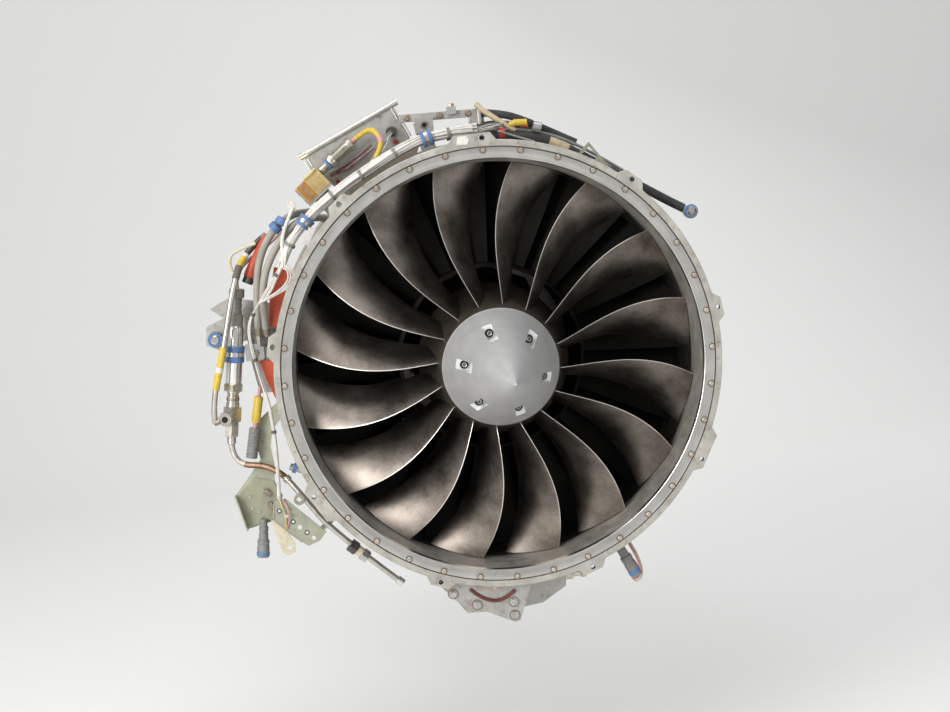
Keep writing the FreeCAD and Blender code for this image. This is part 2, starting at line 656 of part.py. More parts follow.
def guide_vanes():
    """Vanes that straighten the bypass air behind the fan."""
    inner = SPLITTER_RADIUS + VANE_END_GAP
    outer = math.sqrt((CASE_BORE_RADIUS - VANE_END_GAP) ** 2 - VANE_LEAN ** 2)
    front = Vector(inner, VANE_FRONT_Y, -VANE_LEAN)
    bend = Vector(inner, VANE_FRONT_Y + VANE_CHORD / 3, 0)
    back = Vector(inner, VANE_FRONT_Y + VANE_CHORD, 0)
    across = Vector(0, 0, VANE_THICKNESS)
    vane = outward(polygon_face([front, bend, back, back + across, bend + across]).extrude(
        Vector(outer - inner, 0, 0)))
    return Part.makeCompound(around(vane, VANE_COUNT))


# ---------------------------------------------------------------- frame, duct and nozzle
def mount_pad():
    """Pad on the side of the frame ring, at +X, and the socket for the mount's trunnion pin."""
    middle_y = (CASE_END_Y + FRAME_BACK_Y) / 2
    half_y = MOUNT_PAD_LENGTH / 2
    half_z = MOUNT_PAD_HEIGHT / 2
    pad = block(Vector((FRAME_BORE_RADIUS + FRAME_RADIUS) / 2, middle_y - half_y, -half_z),
                Vector(MOUNT_PAD_X, middle_y + half_y, half_z))
    mouth = Vector(MOUNT_PAD_X, middle_y, 0)
    return pad, rod(mouth - Vector(MOUNT_SOCKET_DEPTH, 0, 0), mouth, MOUNT_SOCKET_RADIUS)


def frame_strut():
    """One radial strut, pointed front and back, at angle zero."""
    half = FRAME_STRUT_THICKNESS / 2
    back = FRAME_STRUT_FRONT_Y + FRAME_STRUT_CHORD
    thickest = FRAME_STRUT_FRONT_Y + FRAME_STRUT_CHORD / 3
    inner = CORE_INNER_RADIUS - FRAME_STRUT_THICKNESS / 2
    outline = [Vector(inner, FRAME_STRUT_FRONT_Y, 0), Vector(inner, thickest, half),
               Vector(inner, back, 0), Vector(inner, thickest, -half)]
    reach = (FRAME_BORE_RADIUS + FRAME_RADIUS) / 2 - inner
    return outward(polygon_face(outline).extrude(Vector(reach, 0, 0)))


def intermediate_frame():
    """Cast frame: outer ring with mount pads, flow splitter, bearing hub and struts."""
    ring = hoop(FRAME_BORE_RADIUS, FRAME_RADIUS, CASE_END_Y, FRAME_BACK_Y)
    splitter = faceted([
        (SPLITTER_RADIUS - SPLITTER_WALL, SPLITTER_FRONT_Y), (SPLITTER_RADIUS, SPLITTER_FRONT_Y + SPLITTER_WALL),
        (SPLITTER_RADIUS, FRAME_BACK_Y), (SPLITTER_RADIUS - SPLITTER_WALL, FRAME_BACK_Y)], HIDDEN_SIDES)
    hub = faceted([
        (CORE_INNER_RADIUS, CORE_INNER_FRONT_Y), (CORE_INNER_RADIUS, FRAME_BACK_Y),
        (BEARING_OUTER_RADIUS, FRAME_BACK_Y), (BEARING_OUTER_RADIUS, HUB_BORE_FRONT_Y)], HIDDEN_SIDES)
    pad, socket = mount_pad()
    struts = around(frame_strut(), FRAME_STRUT_COUNT, FRAME_STRUT_PHASE)
    return ring.fuse([splitter, hub] + around(pad, 2) + struts).cut(around(socket, 2))


def duct_radius(station):
    """Outer radius of the bypass duct's skin."""
    share = (station - FRAME_BACK_Y) / (DUCT_END_Y - FRAME_BACK_Y)
    return between(DUCT_FRONT_RADIUS, DUCT_END_RADIUS, share)


def bypass_duct():
    """Tapered outer duct from the frame to the nozzle."""
    flange_back = FRAME_BACK_Y + DUCT_FLANGE
    return turned([
        (FRAME_RADIUS, FRAME_BACK_Y), (FRAME_RADIUS, flange_back), (duct_radius(flange_back), flange_back),
        (DUCT_END_RADIUS, DUCT_END_Y), (DUCT_END_RADIUS - DUCT_WALL, DUCT_END_Y),
        (DUCT_FRONT_RADIUS - DUCT_WALL, FRAME_BACK_Y)])


def exhaust_nozzle():
    """Converging nozzle, bolted on behind the duct."""
    flange_back = DUCT_END_Y + DUCT_FLANGE
    rim = DUCT_END_RADIUS + NOZZLE_FLANGE_RISE
    return turned([
        (rim, DUCT_END_Y), (rim, flange_back),
        (DUCT_END_RADIUS, flange_back), (NOZZLE_EXIT_RADIUS, NOZZLE_EXIT_Y),
        (NOZZLE_EXIT_RADIUS - DUCT_WALL, NOZZLE_EXIT_Y), (DUCT_END_RADIUS - DUCT_WALL, DUCT_END_Y)])


def rear_mount_lug():
    """Lug for the rear link, saddled on top of the duct."""
    top = duct_radius(REAR_LUG_Y) + REAR_LUG_REACH
    half_y = REAR_LUG_WIDTH / 2
    foot = duct_radius(REAR_LUG_Y + half_y) - DUCT_WALL
    body = block(Vector(-REAR_LUG_THICKNESS / 2, REAR_LUG_Y - half_y, foot),
                 Vector(REAR_LUG_THICKNESS / 2, REAR_LUG_Y + half_y, top - half_y))
    eye = Vector(0, REAR_LUG_Y, top - half_y)
    across = Vector(REAR_LUG_THICKNESS / 2, 0, 0)
    base = block(Vector(-REAR_LUG_WIDTH, REAR_LUG_Y - REAR_LUG_WIDTH, foot - DUCT_FLANGE),
                 Vector(REAR_LUG_WIDTH, REAR_LUG_Y + REAR_LUG_WIDTH, foot + 2 * DUCT_FLANGE))
    lug_shape = body.fuse([rod(eye - across, eye + across, half_y), base])
    duct_space = turned([
        (0, FRAME_BACK_Y), (DUCT_FRONT_RADIUS, FRAME_BACK_Y), (DUCT_END_RADIUS, DUCT_END_Y), (0, DUCT_END_Y)])
    return lug_shape.cut([rod(eye - across, eye + across, REAR_LUG_BORE_RADIUS), duct_space])


# ---------------------------------------------------------------- core
def core_inner(station):
    """Inner radius of the core case at a station."""
    share = max(0, (station - CORE_TAPER_Y) / (CORE_END_Y - CORE_TAPER_Y))
    return between(CORE_RADIUS, CORE_END_RADIUS, share) - CORE_WALL


def core_case():
    """Shell round compressor, combustor and turbines."""
    return faceted([
        (SPLITTER_RADIUS - SPLITTER_WALL, FRAME_BACK_Y), (CORE_RADIUS, FRAME_BACK_Y), (CORE_RADIUS, CORE_TAPER_Y),
        (CORE_END_RADIUS, CORE_END_Y), (core_inner(CORE_END_Y), CORE_END_Y),
        (core_inner(CORE_TAPER_Y), CORE_TAPER_Y), (core_inner(FRAME_BACK_Y), FRAME_BACK_Y + 2 * CORE_WALL)],
        HIDDEN_SIDES)


def fan_shaft():
    """Long shaft from the fan to its turbine."""
    return rod(Vector(0, hub_nose_y(), 0), Vector(0, FAN_SHAFT_BACK_Y, 0), FAN_SHAFT_RADIUS)


def core_shaft():
    """Hollow shaft that turns round the long one."""
    return hoop(CORE_SHAFT_BORE, CORE_SHAFT_RADIUS, CORE_SHAFT_FRONT_Y, CORE_SHAFT_BACK_Y)


def bearing(shaft_radius, front):
    """Bearing with few facets, clear of its shaft; its corners meet every second corner of its seat."""
    sides = HIDDEN_SIDES // 2
    inner = (shaft_radius + BEARING_FIT) / math.cos(math.pi / sides)
    back = front + BEARING_WIDTH
    return faceted([(inner, front), (BEARING_OUTER_RADIUS, front), (BEARING_OUTER_RADIUS, back), (inner, back)],
                   sides)


def fan_bearings():
    """Bearings of the fan shaft: one in the frame hub, one in the rear hub."""
    return Part.makeCompound([bearing(FAN_SHAFT_RADIUS, front) for front in (HUB_BORE_FRONT_Y, REAR_BEARING_Y)])


def core_bearings():
    """Bearings of the core shaft: one in the frame hub, one in the diffuser."""
    return Part.makeCompound([bearing(CORE_SHAFT_RADIUS, CORE_SHAFT_FRONT_Y + BLADE_RUNNING_GAP),
                              bearing(CORE_SHAFT_RADIUS, DIFFUSER_FRONT_Y)])


def impeller():
    """Centrifugal compressor wheel: a flared hub with one flat facet under each blade."""
    bend_y = between(IMPELLER_FRONT_Y, IMPELLER_BACK_Y, 3 / 4)
    bend_radius = between(IMPELLER_EYE_RADIUS, IMPELLER_RADIUS, 1 / 3)
    rings = []
    for radius, station in ((IMPELLER_EYE_RADIUS, IMPELLER_FRONT_Y), (bend_radius, bend_y),
                            (IMPELLER_RADIUS, IMPELLER_BACK_Y)):
        rings.append(Part.makePolygon([polar(radius, FULL_TURN * number / IMPELLER_BLADE_COUNT, station)
                                       for number in range(IMPELLER_BLADE_COUNT + 1)]))
    hub = outward(Part.makeLoft(rings, True, True))
    half = IMPELLER_BLADE_THICKNESS / 2
    sunk = IMPELLER_EYE_RADIUS * math.cos(math.pi / IMPELLER_BLADE_COUNT) - half
    outline = [Vector(sunk, IMPELLER_FRONT_Y, -half), Vector(IMPELLER_INLET_RADIUS, IMPELLER_FRONT_Y, -half),
               Vector(IMPELLER_INLET_RADIUS + half, between(IMPELLER_FRONT_Y, IMPELLER_BACK_Y, 1 / 2), -half),
               Vector(IMPELLER_RADIUS - IMPELLER_TIP_WIDTH / 2, IMPELLER_BACK_Y - IMPELLER_TIP_WIDTH, -half),
               Vector(IMPELLER_RADIUS - IMPELLER_TIP_WIDTH / 2, IMPELLER_BACK_Y - half, -half),
               Vector(sunk, IMPELLER_BACK_Y - half, -half)]
    blade = outward(polygon_face(outline).extrude(Vector(0, 0, 2 * half)))
    blades = around(blade, IMPELLER_BLADE_COUNT, FULL_TURN / IMPELLER_BLADE_COUNT / 2)
    shaft_space = rod(Vector(0, IMPELLER_FRONT_Y, 0), Vector(0, IMPELLER_BACK_Y, 0), CORE_SHAFT_RADIUS)
    return hub.fuse(blades).cut(shaft_space)


def diffuser():
    """Plate behind the impeller that carries the core shaft's rear bearing."""
    back = DIFFUSER_FRONT_Y + DIFFUSER_THICKNESS
    rim = core_inner(DIFFUSER_FRONT_Y)
    return faceted([(BEARING_OUTER_RADIUS, DIFFUSER_FRONT_Y), (rim, DIFFUSER_FRONT_Y), (rim, back),
                    (BEARING_OUTER_RADIUS, back)], HIDDEN_SIDES)


def turbine_wheel(shaft_radius, rim_radius, front, width, count):
    """Turbine disc with a flat platform under each blade; the blades reach almost to the case."""
    back = front + width
    half = TURBINE_BLADE_THICKNESS / 2
    tip = core_inner(back) - BLADE_RUNNING_GAP - half
    disc = prism(Vector(0, front, 0), Vector(0, back, 0), count, 2 * rim_radius)
    blade = block(Vector(rim_radius - width / 4, front + width / 6, -half), Vector(tip, back - width / 6, half))
    blade.rotate(Vector(0, front + width / 2, 0), Vector(1, 0, 0), TURBINE_BLADE_LEAN)
    blades = around(blade, count, FULL_TURN / count / 2)
    return disc.fuse(blades).cut(rod(Vector(0, front, 0), Vector(0, back, 0), shaft_radius))


def core_turbine():
    """Turbine of the core shaft."""
    return turbine_wheel(CORE_SHAFT_RADIUS, CORE_WHEEL_RADIUS, CORE_WHEEL_FRONT_Y, CORE_WHEEL_WIDTH,
                         CORE_TURBINE_BLADE_COUNT)


def fan_turbine():
    """Turbine of the fan shaft."""
    return turbine_wheel(FAN_SHAFT_RADIUS, FAN_WHEEL_RADIUS, FAN_WHEEL_FRONT_Y, FAN_WHEEL_WIDTH,
                         FAN_TURBINE_BLADE_COUNT)


def rear_frame():
    """Rear bearing hub on struts that pass the core and bypass streams."""
    front = CORE_END_Y
    back = front + REAR_FRAME_LENGTH
    hub = faceted([(BEARING_OUTER_RADIUS, front), (REAR_HUB_RADIUS, front), (REAR_HUB_RADIUS, back),
                   (BEARING_OUTER_RADIUS, back)], HIDDEN_SIDES)
    half = REAR_STRUT_THICKNESS / 2
    reach_front = math.sqrt((DUCT_END_RADIUS - DUCT_WALL) ** 2 - half ** 2)
    reach_back = math.sqrt(nozzle_inner(back) ** 2 - half ** 2)
    outline = [Vector(REAR_HUB_RADIUS - half, front, -half), Vector(reach_front, front, -half),
               Vector(reach_front, DUCT_END_Y, -half), Vector(reach_back, back, -half),
               Vector(REAR_HUB_RADIUS - half, back, -half)]
    strut = outward(polygon_face(outline).extrude(Vector(0, 0, 2 * half)))
    return hub.fuse(around(strut, REAR_STRUT_COUNT, FULL_TURN / REAR_STRUT_COUNT / 2))


def nozzle_inner(station):
    """Inner radius of the nozzle at a station."""
    share = (station - DUCT_END_Y) / (NOZZLE_EXIT_Y - DUCT_END_Y)
    return between(DUCT_END_RADIUS, NOZZLE_EXIT_RADIUS, share) - DUCT_WALL


def exhaust_cone():
    """Closed tail cone behind the rear hub."""
    front = CORE_END_Y + REAR_FRAME_LENGTH
    return faceted([
        (0, front + CONE_LENGTH), (CONE_TIP_RADIUS, front + CONE_LENGTH), (REAR_HUB_RADIUS, front), (0, front)],
        HIDDEN_SIDES)


# ---------------------------------------------------------------- left side: sensor and its tube
def sensor_point(share):
    """Point on the sensor's axis."""
    low = placed(SENSOR_TOP)
    return low + placed(SENSOR_BOTTOM).sub(low) * share


def strap_ear():
    """Opposite corners of the clamp's ears."""
    low_x, high_x, low_z, high_z = STRAP_EAR
    middle_y = SENSOR_TOP[1]
    return (placed((low_x, middle_y - STRAP_EAR_THICKNESS / 2, low_z)),
            placed((high_x, middle_y + STRAP_EAR_THICKNESS / 2, high_z)))


def pressure_sensor():
    """Polished sensor body with its hexagon."""
    return stepped(SENSOR_TOP, SENSOR_BOTTOM, SENSOR_STEPS)


def sensor_plug():
    """Cable plug on top of the sensor."""
    return stepped(SENSOR_TOP, SENSOR_BOTTOM, PLUG_STEPS)


def sensor_fitting():
    """Tee below the sensor, with the union nut of the steel tube on its face."""
    centre = placed(ELBOW_CENTRE)
    nut = prism(centre - AFT * (ELBOW_LENGTH / 2), centre + AFT * (ELBOW_LENGTH / 2), 12, ELBOW_FLATS)
    return Part.makeCompound([stepped(SENSOR_TOP, SENSOR_BOTTOM, FITTING_STEPS), nut])


def sensor_cushion():
    """Rubber cushion of the clamp that holds the sensor."""
    flats, sides = SENSOR_STEPS[0][2:]
    return faceted_ring(sensor_point(CLAMP_SHARES[0]), sensor_point(CLAMP_SHARES[1]), sides, flats,
                        flats + 2 * CUSHION_THICKNESS)


def sensor_strap():
    """Steel band of that clamp, with its ears."""
    flats, sides = SENSOR_STEPS[0][2:]
    inner = flats + 2 * CUSHION_THICKNESS
    outer = inner + 2 * STRAP_THICKNESS
    low, high = sensor_point(STRAP_SHARES[0]), sensor_point(STRAP_SHARES[1])
    hollow = prism(sensor_point(CLAMP_SHARES[0]), sensor_point(CLAMP_SHARES[1]), sides, outer - STRAP_THICKNESS)
    return faceted_ring(low, high, sides, inner, outer).fuse(block(*strap_ear()).cut(hollow))


def clamp_bracket():
    """Bracket between the fan case and the ears of the sensor's clamp."""
    low, high = strap_ear()
    middle = (low.z + high.z) / 2
    angle = math.degrees(math.atan2(middle, -CASE_OUTER_RADIUS))
    inner_x = -math.sqrt(CASE_OUTER_RADIUS ** 2 - middle ** 2) - FOOT_THICKNESS / 2
    arm = block(Vector(high.x - FOOT_WIDTH / 2, high.y, low.z),
                Vector(inner_x, high.y + BRACKET_THICKNESS, high.z))
    return arm.fuse(foot(angle, high.y))


def steel_tube():
    """Pressure tube from the harness side down to the tee."""
    return tube("steel_tube", STEEL_TUBE_ROUTE, TUBE_RADIUS, TUBE_SIDES)


def tube_sleeve():
    """Marker sleeve on the long straight run of the steel tube."""
    top, bottom = [placed(point) for point in STEEL_TUBE_ROUTE[3:5]]
    run = bottom.sub(top)
    start = top + run * SLEEVE_FROM_SHARE
    end = top + run * SLEEVE_TO_SHARE
    return faceted_ring(start, end, TUBE_SIDES, 2 * TUBE_RADIUS + CLIP_EASE / 2, SLEEVE_FLATS)


def drain_tube():
    """Tube from the tee round the lower left of the fan case."""
    return tube("drain_tube", DRAIN_TUBE_ROUTE, TUBE_RADIUS, TUBE_SIDES)


def tube_coupling():
    """Coupling on the last run of the drain tube."""
    start, end = [placed(point) for point in DRAIN_TUBE_ROUTE[-2:]]
    run = end.sub(start)
    run.normalize()
    low = start + run * COUPLING_LENGTH
    return faceted_ring(low, low + run * COUPLING_LENGTH, TUBE_SIDES, 2 * TUBE_RADIUS, COUPLING_FLATS)


def outer_hose():
    return tube("outer_hose", OUTER_HOSE_ROUTE, HOSE_RADIUS, HOSE_SIDES)


def inner_hose():
    return tube("inner_hose", INNER_HOSE_ROUTE, HOSE_RADIUS, HOSE_SIDES)


# ---------------------------------------------------------------- wiring
def wire_harness():
    """Main wire bundle round the upper left of the fan case."""
    return tube("wire_harness", HARNESS_ROUTE, HARNESS_RADIUS, TUBE_SIDES)


def sensor_wires():
    """Thin branch of the bundle that runs down the left side."""
    return tube("sensor_wires", SENSOR_WIRE_ROUTE, WIRE_RADIUS, WIRE_SIDES)


def harness_clip(run):
    """Cushioned ring round one run of the bundle, on a leg that stands on the fan case."""
    first, last = [placed(point) for point in HARNESS_ROUTE[run:run + 2]]
    middle = (first + last) / 2
    along = last.sub(first)
    along.normalize()
    half = CLAMP_LENGTH / 2
    hollow = 2 * HARNESS_RADIUS + CLIP_EASE
    ring = faceted_ring(middle - along * half, middle + along * half, TUBE_SIDES, hollow, CLAMP_RING_FLATS)
    radius = math.hypot(middle.x, middle.z)
    low = Vector(CASE_OUTER_RADIUS + FOOT_GAP, middle.y - CLAMP_LEG / 2, -CLAMP_LEG / 2)
    high = Vector(radius - (hollow + CLAMP_RING_FLATS) / 4, middle.y + CLAMP_LEG / 2, CLAMP_LEG / 2)
    return ring.fuse(at_angle(block(low, high), math.degrees(math.atan2(middle.z, middle.x))))


def harness_clips():
    """The clips of the main bundle."""
    return Part.makeCompound([harness_clip(run) for run in CLIP_RUNS])


def harness_connector():
    """Metal connector of the harness, plugged into the terminal box."""
    return stepped(CONNECTOR_START, CONNECTOR_END, CONNECTOR_STEPS)


def sleeved_lead():
    """Lead in a sleeve from the connector back to the bundle."""
    return tube("sleeved_lead", SLEEVED_LEAD_ROUTE, WIRE_RADIUS, WIRE_SIDES)


def terminal_box():
    """Box with a raised cap, standing off the fan case."""
    low = BOX_LOW_RADIUS
    high = low + BOX_HEIGHT
    front, back = BOX_STATIONS
    first, last = BOX_REACH
    cap = block(Vector(low, front, first), Vector(high, back, BOX_STEP))
    base = block(Vector(low, front + BRACKET_THICKNESS, BOX_STEP), Vector(high - BRACKET_THICKNESS, back, last))
    return at_angle(cap.fuse(base), BOX_ANGLE)


def box_bracket():
    """Shelf under the terminal box, on one leg."""
    low = BOX_LOW_RADIUS
    front, back = BOX_STATIONS
    first, last = BOX_REACH
    shelf = block(Vector(low - BRACKET_THICKNESS, front, first), Vector(low, back, last))
    middle = (first + last) / 2
    leg = block(Vector(CASE_OUTER_RADIUS + FOOT_GAP, back - 2 * BRACKET_THICKNESS, middle - FOOT_WIDTH / 2),
                Vector(low, back, middle + FOOT_WIDTH / 2))
    return at_angle(shelf.fuse(leg), BOX_ANGLE)


def sleeved_plug():
    """Lead, sleeve and cable plug that hang beside the sensor."""
    return stepped(SLEEVED_PLUG_START, SLEEVED_PLUG_END, SLEEVED_PLUG_STEPS)


def loose_plugs():
    """Two capped cable plugs that hang below."""
    return Part.makeCompound([stepped(start, end, LOOSE_PLUG_STEPS) for start, end in LOOSE_PLUGS])


def black_hose():
    """Braided hose over the top right of the fan case."""
    return tube("black_hose", BLACK_HOSE_ROUTE, BLACK_HOSE_RADIUS, HOSE_SIDES)


def hose_clamp():
    """Open cushioned clamp round the free end of that hose."""
    front, back = HOSE_CLAMP_STATIONS
    x, _, z = placed(BLACK_HOSE_ROUTE[-1])
    return faceted_ring(Vector(x, front, z), Vector(x, back, z), HOSE_SIDES, 2 * BLACK_HOSE_RADIUS,
                        HOSE_CLAMP_FLATS)


# ---------------------------------------------------------------- sheet and cast brackets
def connector_bracket():
    """Sheet plate behind the connectors, with a rod along its top edge and two feet."""
    sheet = plate(CONNECTOR_PLATE, CONNECTOR_PLATE_Y, SHEET_THICKNESS)
    start, end = [placed(point) for point in EDGE_ROD]
    feet = [foot(angle, CONNECTOR_PLATE_Y) for angle in CONNECTOR_PLATE_FEET]
    return sheet.fuse([prism(start, end, TUBE_SIDES, EDGE_ROD_FLATS)] + feet)


def side_plate():
    """Curved sheet on the lower left, with a folded tab."""
    sheet = plate(SIDE_PLATE, SIDE_PLATE_Y, SHEET_THICKNESS)
    tab = plate(SIDE_PLATE_TAB, SIDE_PLATE_Y - SIDE_PLATE_TAB_DEPTH, SIDE_PLATE_TAB_DEPTH + SHEET_THICKNESS)
    feet = [foot(angle, SIDE_PLATE_Y) for angle in SIDE_PLATE_FEET]
    return sheet.fuse([tab] + feet)


def lower_bracket():
    """Sheet plate with a row of holes, on a web that stands on the fan case."""
    sheet = plate(LOWER_PLATE, LOWER_PLATE_Y, SHEET_THICKNESS)
    (first_x, first_z), (last_x, last_z) = LOWER_PLATE_HOLES
    holes = []
    for number in range(LOWER_PLATE_HOLE_COUNT):
        share = number / (LOWER_PLATE_HOLE_COUNT - 1)
        front = placed((between(first_x, last_x, share), LOWER_PLATE_Y - SHEET_THICKNESS,
                        between(first_z, last_z, share)))
        holes.append(prism(front, front + AFT * (3 * SHEET_THICKNESS), HOSE_SIDES, LOWER_PLATE_HOLE_FLATS))
    web = block(Vector(CASE_OUTER_RADIUS + FOOT_GAP, LOWER_PLATE_Y, -SHEET_THICKNESS / 2),
                Vector(CASE_OUTER_RADIUS + LOWER_PLATE_WEB_REACH, LOWER_PLATE_Y + LOWER_PLATE_WEB_DEPTH,
                       SHEET_THICKNESS / 2))
    return sheet.cut(holes).fuse(at_angle(web, LOWER_PLATE_WEB_ANGLE))


def cable_lug():
    """Flat lug on the end of a lead, against the back of the lower plate."""
    front = LOWER_PLATE_Y + SHEET_THICKNESS
    x, z = CABLE_LUG_EYE
    middle = placed((x, front, z))
    eye = prism(middle, middle + AFT * BRACKET_THICKNESS, TUBE_SIDES, CABLE_LUG_EYE_FLATS)
    return plate(CABLE_LUG, front, BRACKET_THICKNESS).cut(eye)


def cast_bracket():
    """Cast arm that carries the round plug."""
    arm = plate(CAST_BRACKET, CAST_BRACKET_Y, CAST_BRACKET_DEPTH)
    return arm.fuse(foot(CAST_BRACKET_FOOT, CAST_BRACKET_Y))


def round_plug():
    """Round capped plug on the cast arm."""
    x, z = ROUND_PLUG_CENTRE
    back = placed((x, CAST_BRACKET_Y, z))
    return prism(back - AFT * ROUND_PLUG_DEPTH, back, 16, ROUND_PLUG_FLATS)


def seal_strips():
    """Two rubber strips that stand on the fan case behind the flange."""
    strips = []
    for outer, roots in ((UPPER_SEAL, UPPER_SEAL_ROOT), (LOWER_SEAL, LOWER_SEAL_ROOT)):
        corners = [polar(radius + CASE_SHIFT, angle, SEAL_STRIP_Y) for radius, angle in outer]
        corners += [polar(CASE_OUTER_RADIUS + SEAL_STRIP_GAP, angle, SEAL_STRIP_Y) for angle in roots]
        strips.append(outward(polygon_face(corners).extrude(AFT * BRACKET_THICKNESS)))
    return Part.makeCompound(strips)


def side_bracket():
    """Open triangular bracket under the hose on the upper right."""
    sheet = plate(SIDE_BRACKET, SIDE_BRACKET_Y, SHEET_THICKNESS)
    window = plate(SIDE_BRACKET_WINDOW, SIDE_BRACKET_Y - SHEET_THICKNESS, 3 * SHEET_THICKNESS)
    return sheet.cut(window).fuse(foot(SIDE_BRACKET_FOOT, SIDE_BRACKET_Y))


def top_bracket():
    """Beam on two legs at the top, with a diagonal stay."""
    beam_low, beam_high = placed(TOP_BEAM_LOW), placed(TOP_BEAM_HIGH)
    legs = []
    for angle in TOP_LEG_ANGLES:
        low = Vector(CASE_OUTER_RADIUS + FOOT_GAP, beam_low.y, -TOP_LEG_WIDTH / 2)
        high = Vector(beam_high.z, beam_high.y, TOP_LEG_WIDTH / 2)
        legs.append(at_angle(block(low, high), angle))
    beam = block(beam_low, beam_high)
    start, end = [placed(point) for point in STAY_ROD]
    return beam.fuse(legs + [prism(start, end, TUBE_SIDES, STAY_ROD_FLATS)])


# ---------------------------------------------------------------- accessories below the fan case
def accessory_gearbox():
    """Closed gearbox housing that hugs the bottom of the fan case."""
    front, back = GEARBOX_STATIONS
    neck_front, neck_back = GEARBOX_NECK_STATIONS
    body = plate(GEARBOX_BODY, front, back - front)
    return body.fuse(plate(GEARBOX_NECK, neck_front, neck_back - neck_front))


def gearbox_cover():
    """Bolted three-cornered plate on the gearbox's front."""
    return plate(COVER, COVER_Y, GEARBOX_NECK_STATIONS[0] - COVER_Y)


def cover_bolts():
    """Hexagon bolts of that plate."""
    seats = [placed((x, COVER_Y, z)) for x, z in COVER_BOLTS]
    heads = [prism(seat - AFT * COVER_BOLT_HEIGHT, seat, 6, COVER_BOLT_FLATS) for seat in seats]
    return Part.makeCompound(heads)


def oil_fitting():
    return stepped(*OIL_FITTING, OIL_FITTING_STEPS)


def starter_generator():
    return stepped(*STARTER, STARTER_STEPS)


def fuel_pump():
    return stepped(*FUEL_PUMP, FUEL_PUMP_STEPS)


PARTS = {
    "spinner": spinner,
    "spinner_screws": spinner_screws,
    "fan_nut": fan_nut,
    "fan_rotor": fan_rotor,
    "inlet_lip_ring": inlet_lip_ring,
    "fan_case": fan_case,
    "guide_vanes": guide_vanes,
    "intermediate_frame": intermediate_frame,
    "bypass_duct": bypass_duct,
    "rear_mount_lug": rear_mount_lug,
    "exhaust_nozzle": exhaust_nozzle,
    "core_case": core_case,
    "diffuser": diffuser,
    "rear_frame": rear_frame,
    "exhaust_cone": exhaust_cone,
    "fan_shaft": fan_shaft,
    "fan_turbine": fan_turbine,
    "fan_bearings": fan_bearings,
    "core_shaft": core_shaft,
    "impeller": impeller,
    "core_turbine": core_turbine,
    "core_bearings": core_bearings,
    "pressure_sensor": pressure_sensor,
    "sensor_plug": sensor_plug,
    "sensor_fitting": sensor_fitting,
    "sensor_cushion": sensor_cushion,
    "sensor_strap": sensor_strap,
    "clamp_bracket": clamp_bracket,
    "steel_tube": steel_tube,
    "tube_sleeve": tube_sleeve,
    "drain_tube": drain_tube,
    "tube_coupling": tube_coupling,
    "outer_hose": outer_hose,
    "inner_hose": inner_hose,
    "wire_harness": wire_harness,
    "sensor_wires": sensor_wires,
    "harness_clips": harness_clips,
    "harness_connector": harness_connector,
    "sleeved_lead": sleeved_lead,
    "terminal_box": terminal_box,
    "box_bracket": box_bracket,
    "sleeved_plug": sleeved_plug,
    "loose_plugs": loose_plugs,
    "black_hose": black_hose,
    "hose_clamp": hose_clamp,
    "connector_bracket": connector_bracket,
    "side_plate": side_plate,
    "lower_bracket": lower_bracket,
    "cable_lug": cable_lug,
    "cast_bracket": cast_bracket,
    "round_plug": round_plug,
    "seal_strips": seal_strips,
    "side_bracket": side_bracket,
    "top_bracket": top_bracket,
    "accessory_gearbox": accessory_gearbox,
    "gearbox_cover": gearbox_cover,
    "cover_bolts": cover_bolts,
    "oil_fitting": oil_fitting,
    "starter_generator": starter_generator,
    "fuel_pump": fuel_pump,
}


def main():
    os.makedirs("parts", exist_ok=True)
    for name, make in PARTS.items():
        shape = make()
        shape.exportStep("parts/" + name + ".step")
        print(name, "solids", len(shape.Solids), "volume", round(shape.Volume), "valid", shape.isValid())


main()
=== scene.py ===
import math

import bmesh
import bpy
import numpy as np
from bpy.props import FloatProperty, FloatVectorProperty, IntProperty, PointerProperty
from mathutils import Matrix, Vector


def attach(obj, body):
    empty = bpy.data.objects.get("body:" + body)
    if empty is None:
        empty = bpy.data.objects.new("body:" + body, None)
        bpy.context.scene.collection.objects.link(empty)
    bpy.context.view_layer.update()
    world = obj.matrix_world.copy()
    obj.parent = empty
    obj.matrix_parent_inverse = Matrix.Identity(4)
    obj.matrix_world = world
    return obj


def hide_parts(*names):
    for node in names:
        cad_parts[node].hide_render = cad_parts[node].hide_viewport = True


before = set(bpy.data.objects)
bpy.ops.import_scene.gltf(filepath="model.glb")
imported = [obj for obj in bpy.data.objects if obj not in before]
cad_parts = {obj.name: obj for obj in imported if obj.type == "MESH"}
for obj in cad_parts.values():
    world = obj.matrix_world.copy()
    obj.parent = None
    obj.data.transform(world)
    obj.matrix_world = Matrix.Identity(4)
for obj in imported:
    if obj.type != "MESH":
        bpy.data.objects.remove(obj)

bl_info = {
    "name": "Turbofan Dressing",
    "version": (1, 0, 0),
    "blender": (4, 5, 0),
    "location": "View3D > Sidebar > Turbofan",
    "description": "Gives a packed turbofan its fine shapes, fittings and finishes",
    "category": "Object",
}

MM = 0.001
ENGINE = "engine"
FAN_SPOOL = "fan_spool"
FORWARD = Vector((0, -1, 0))
AFT = Vector((0, 1, 0))
UP = Vector((0, 0, 1))
TURN = 2 * math.pi
WELD_DISTANCE = 0.01 * MM
SHARP_ANGLE = 32.0


# ================================================================ corners and faces
def polar(radius, degrees, station):
    """Point in millimetres at a radius, an angle from +X towards +Z, and a station."""
    angle = math.radians(degrees)
    return Vector((radius * math.cos(angle), station, radius * math.sin(angle)))


def about_axis(degrees):
    """Turn about the engine axis, from +X towards +Z."""
    return Matrix.Rotation(-math.radians(degrees), 3, "Y")


def blend_value(first, last, share):
    """Value part of the way from one to another."""
    return first + (last - first) * share


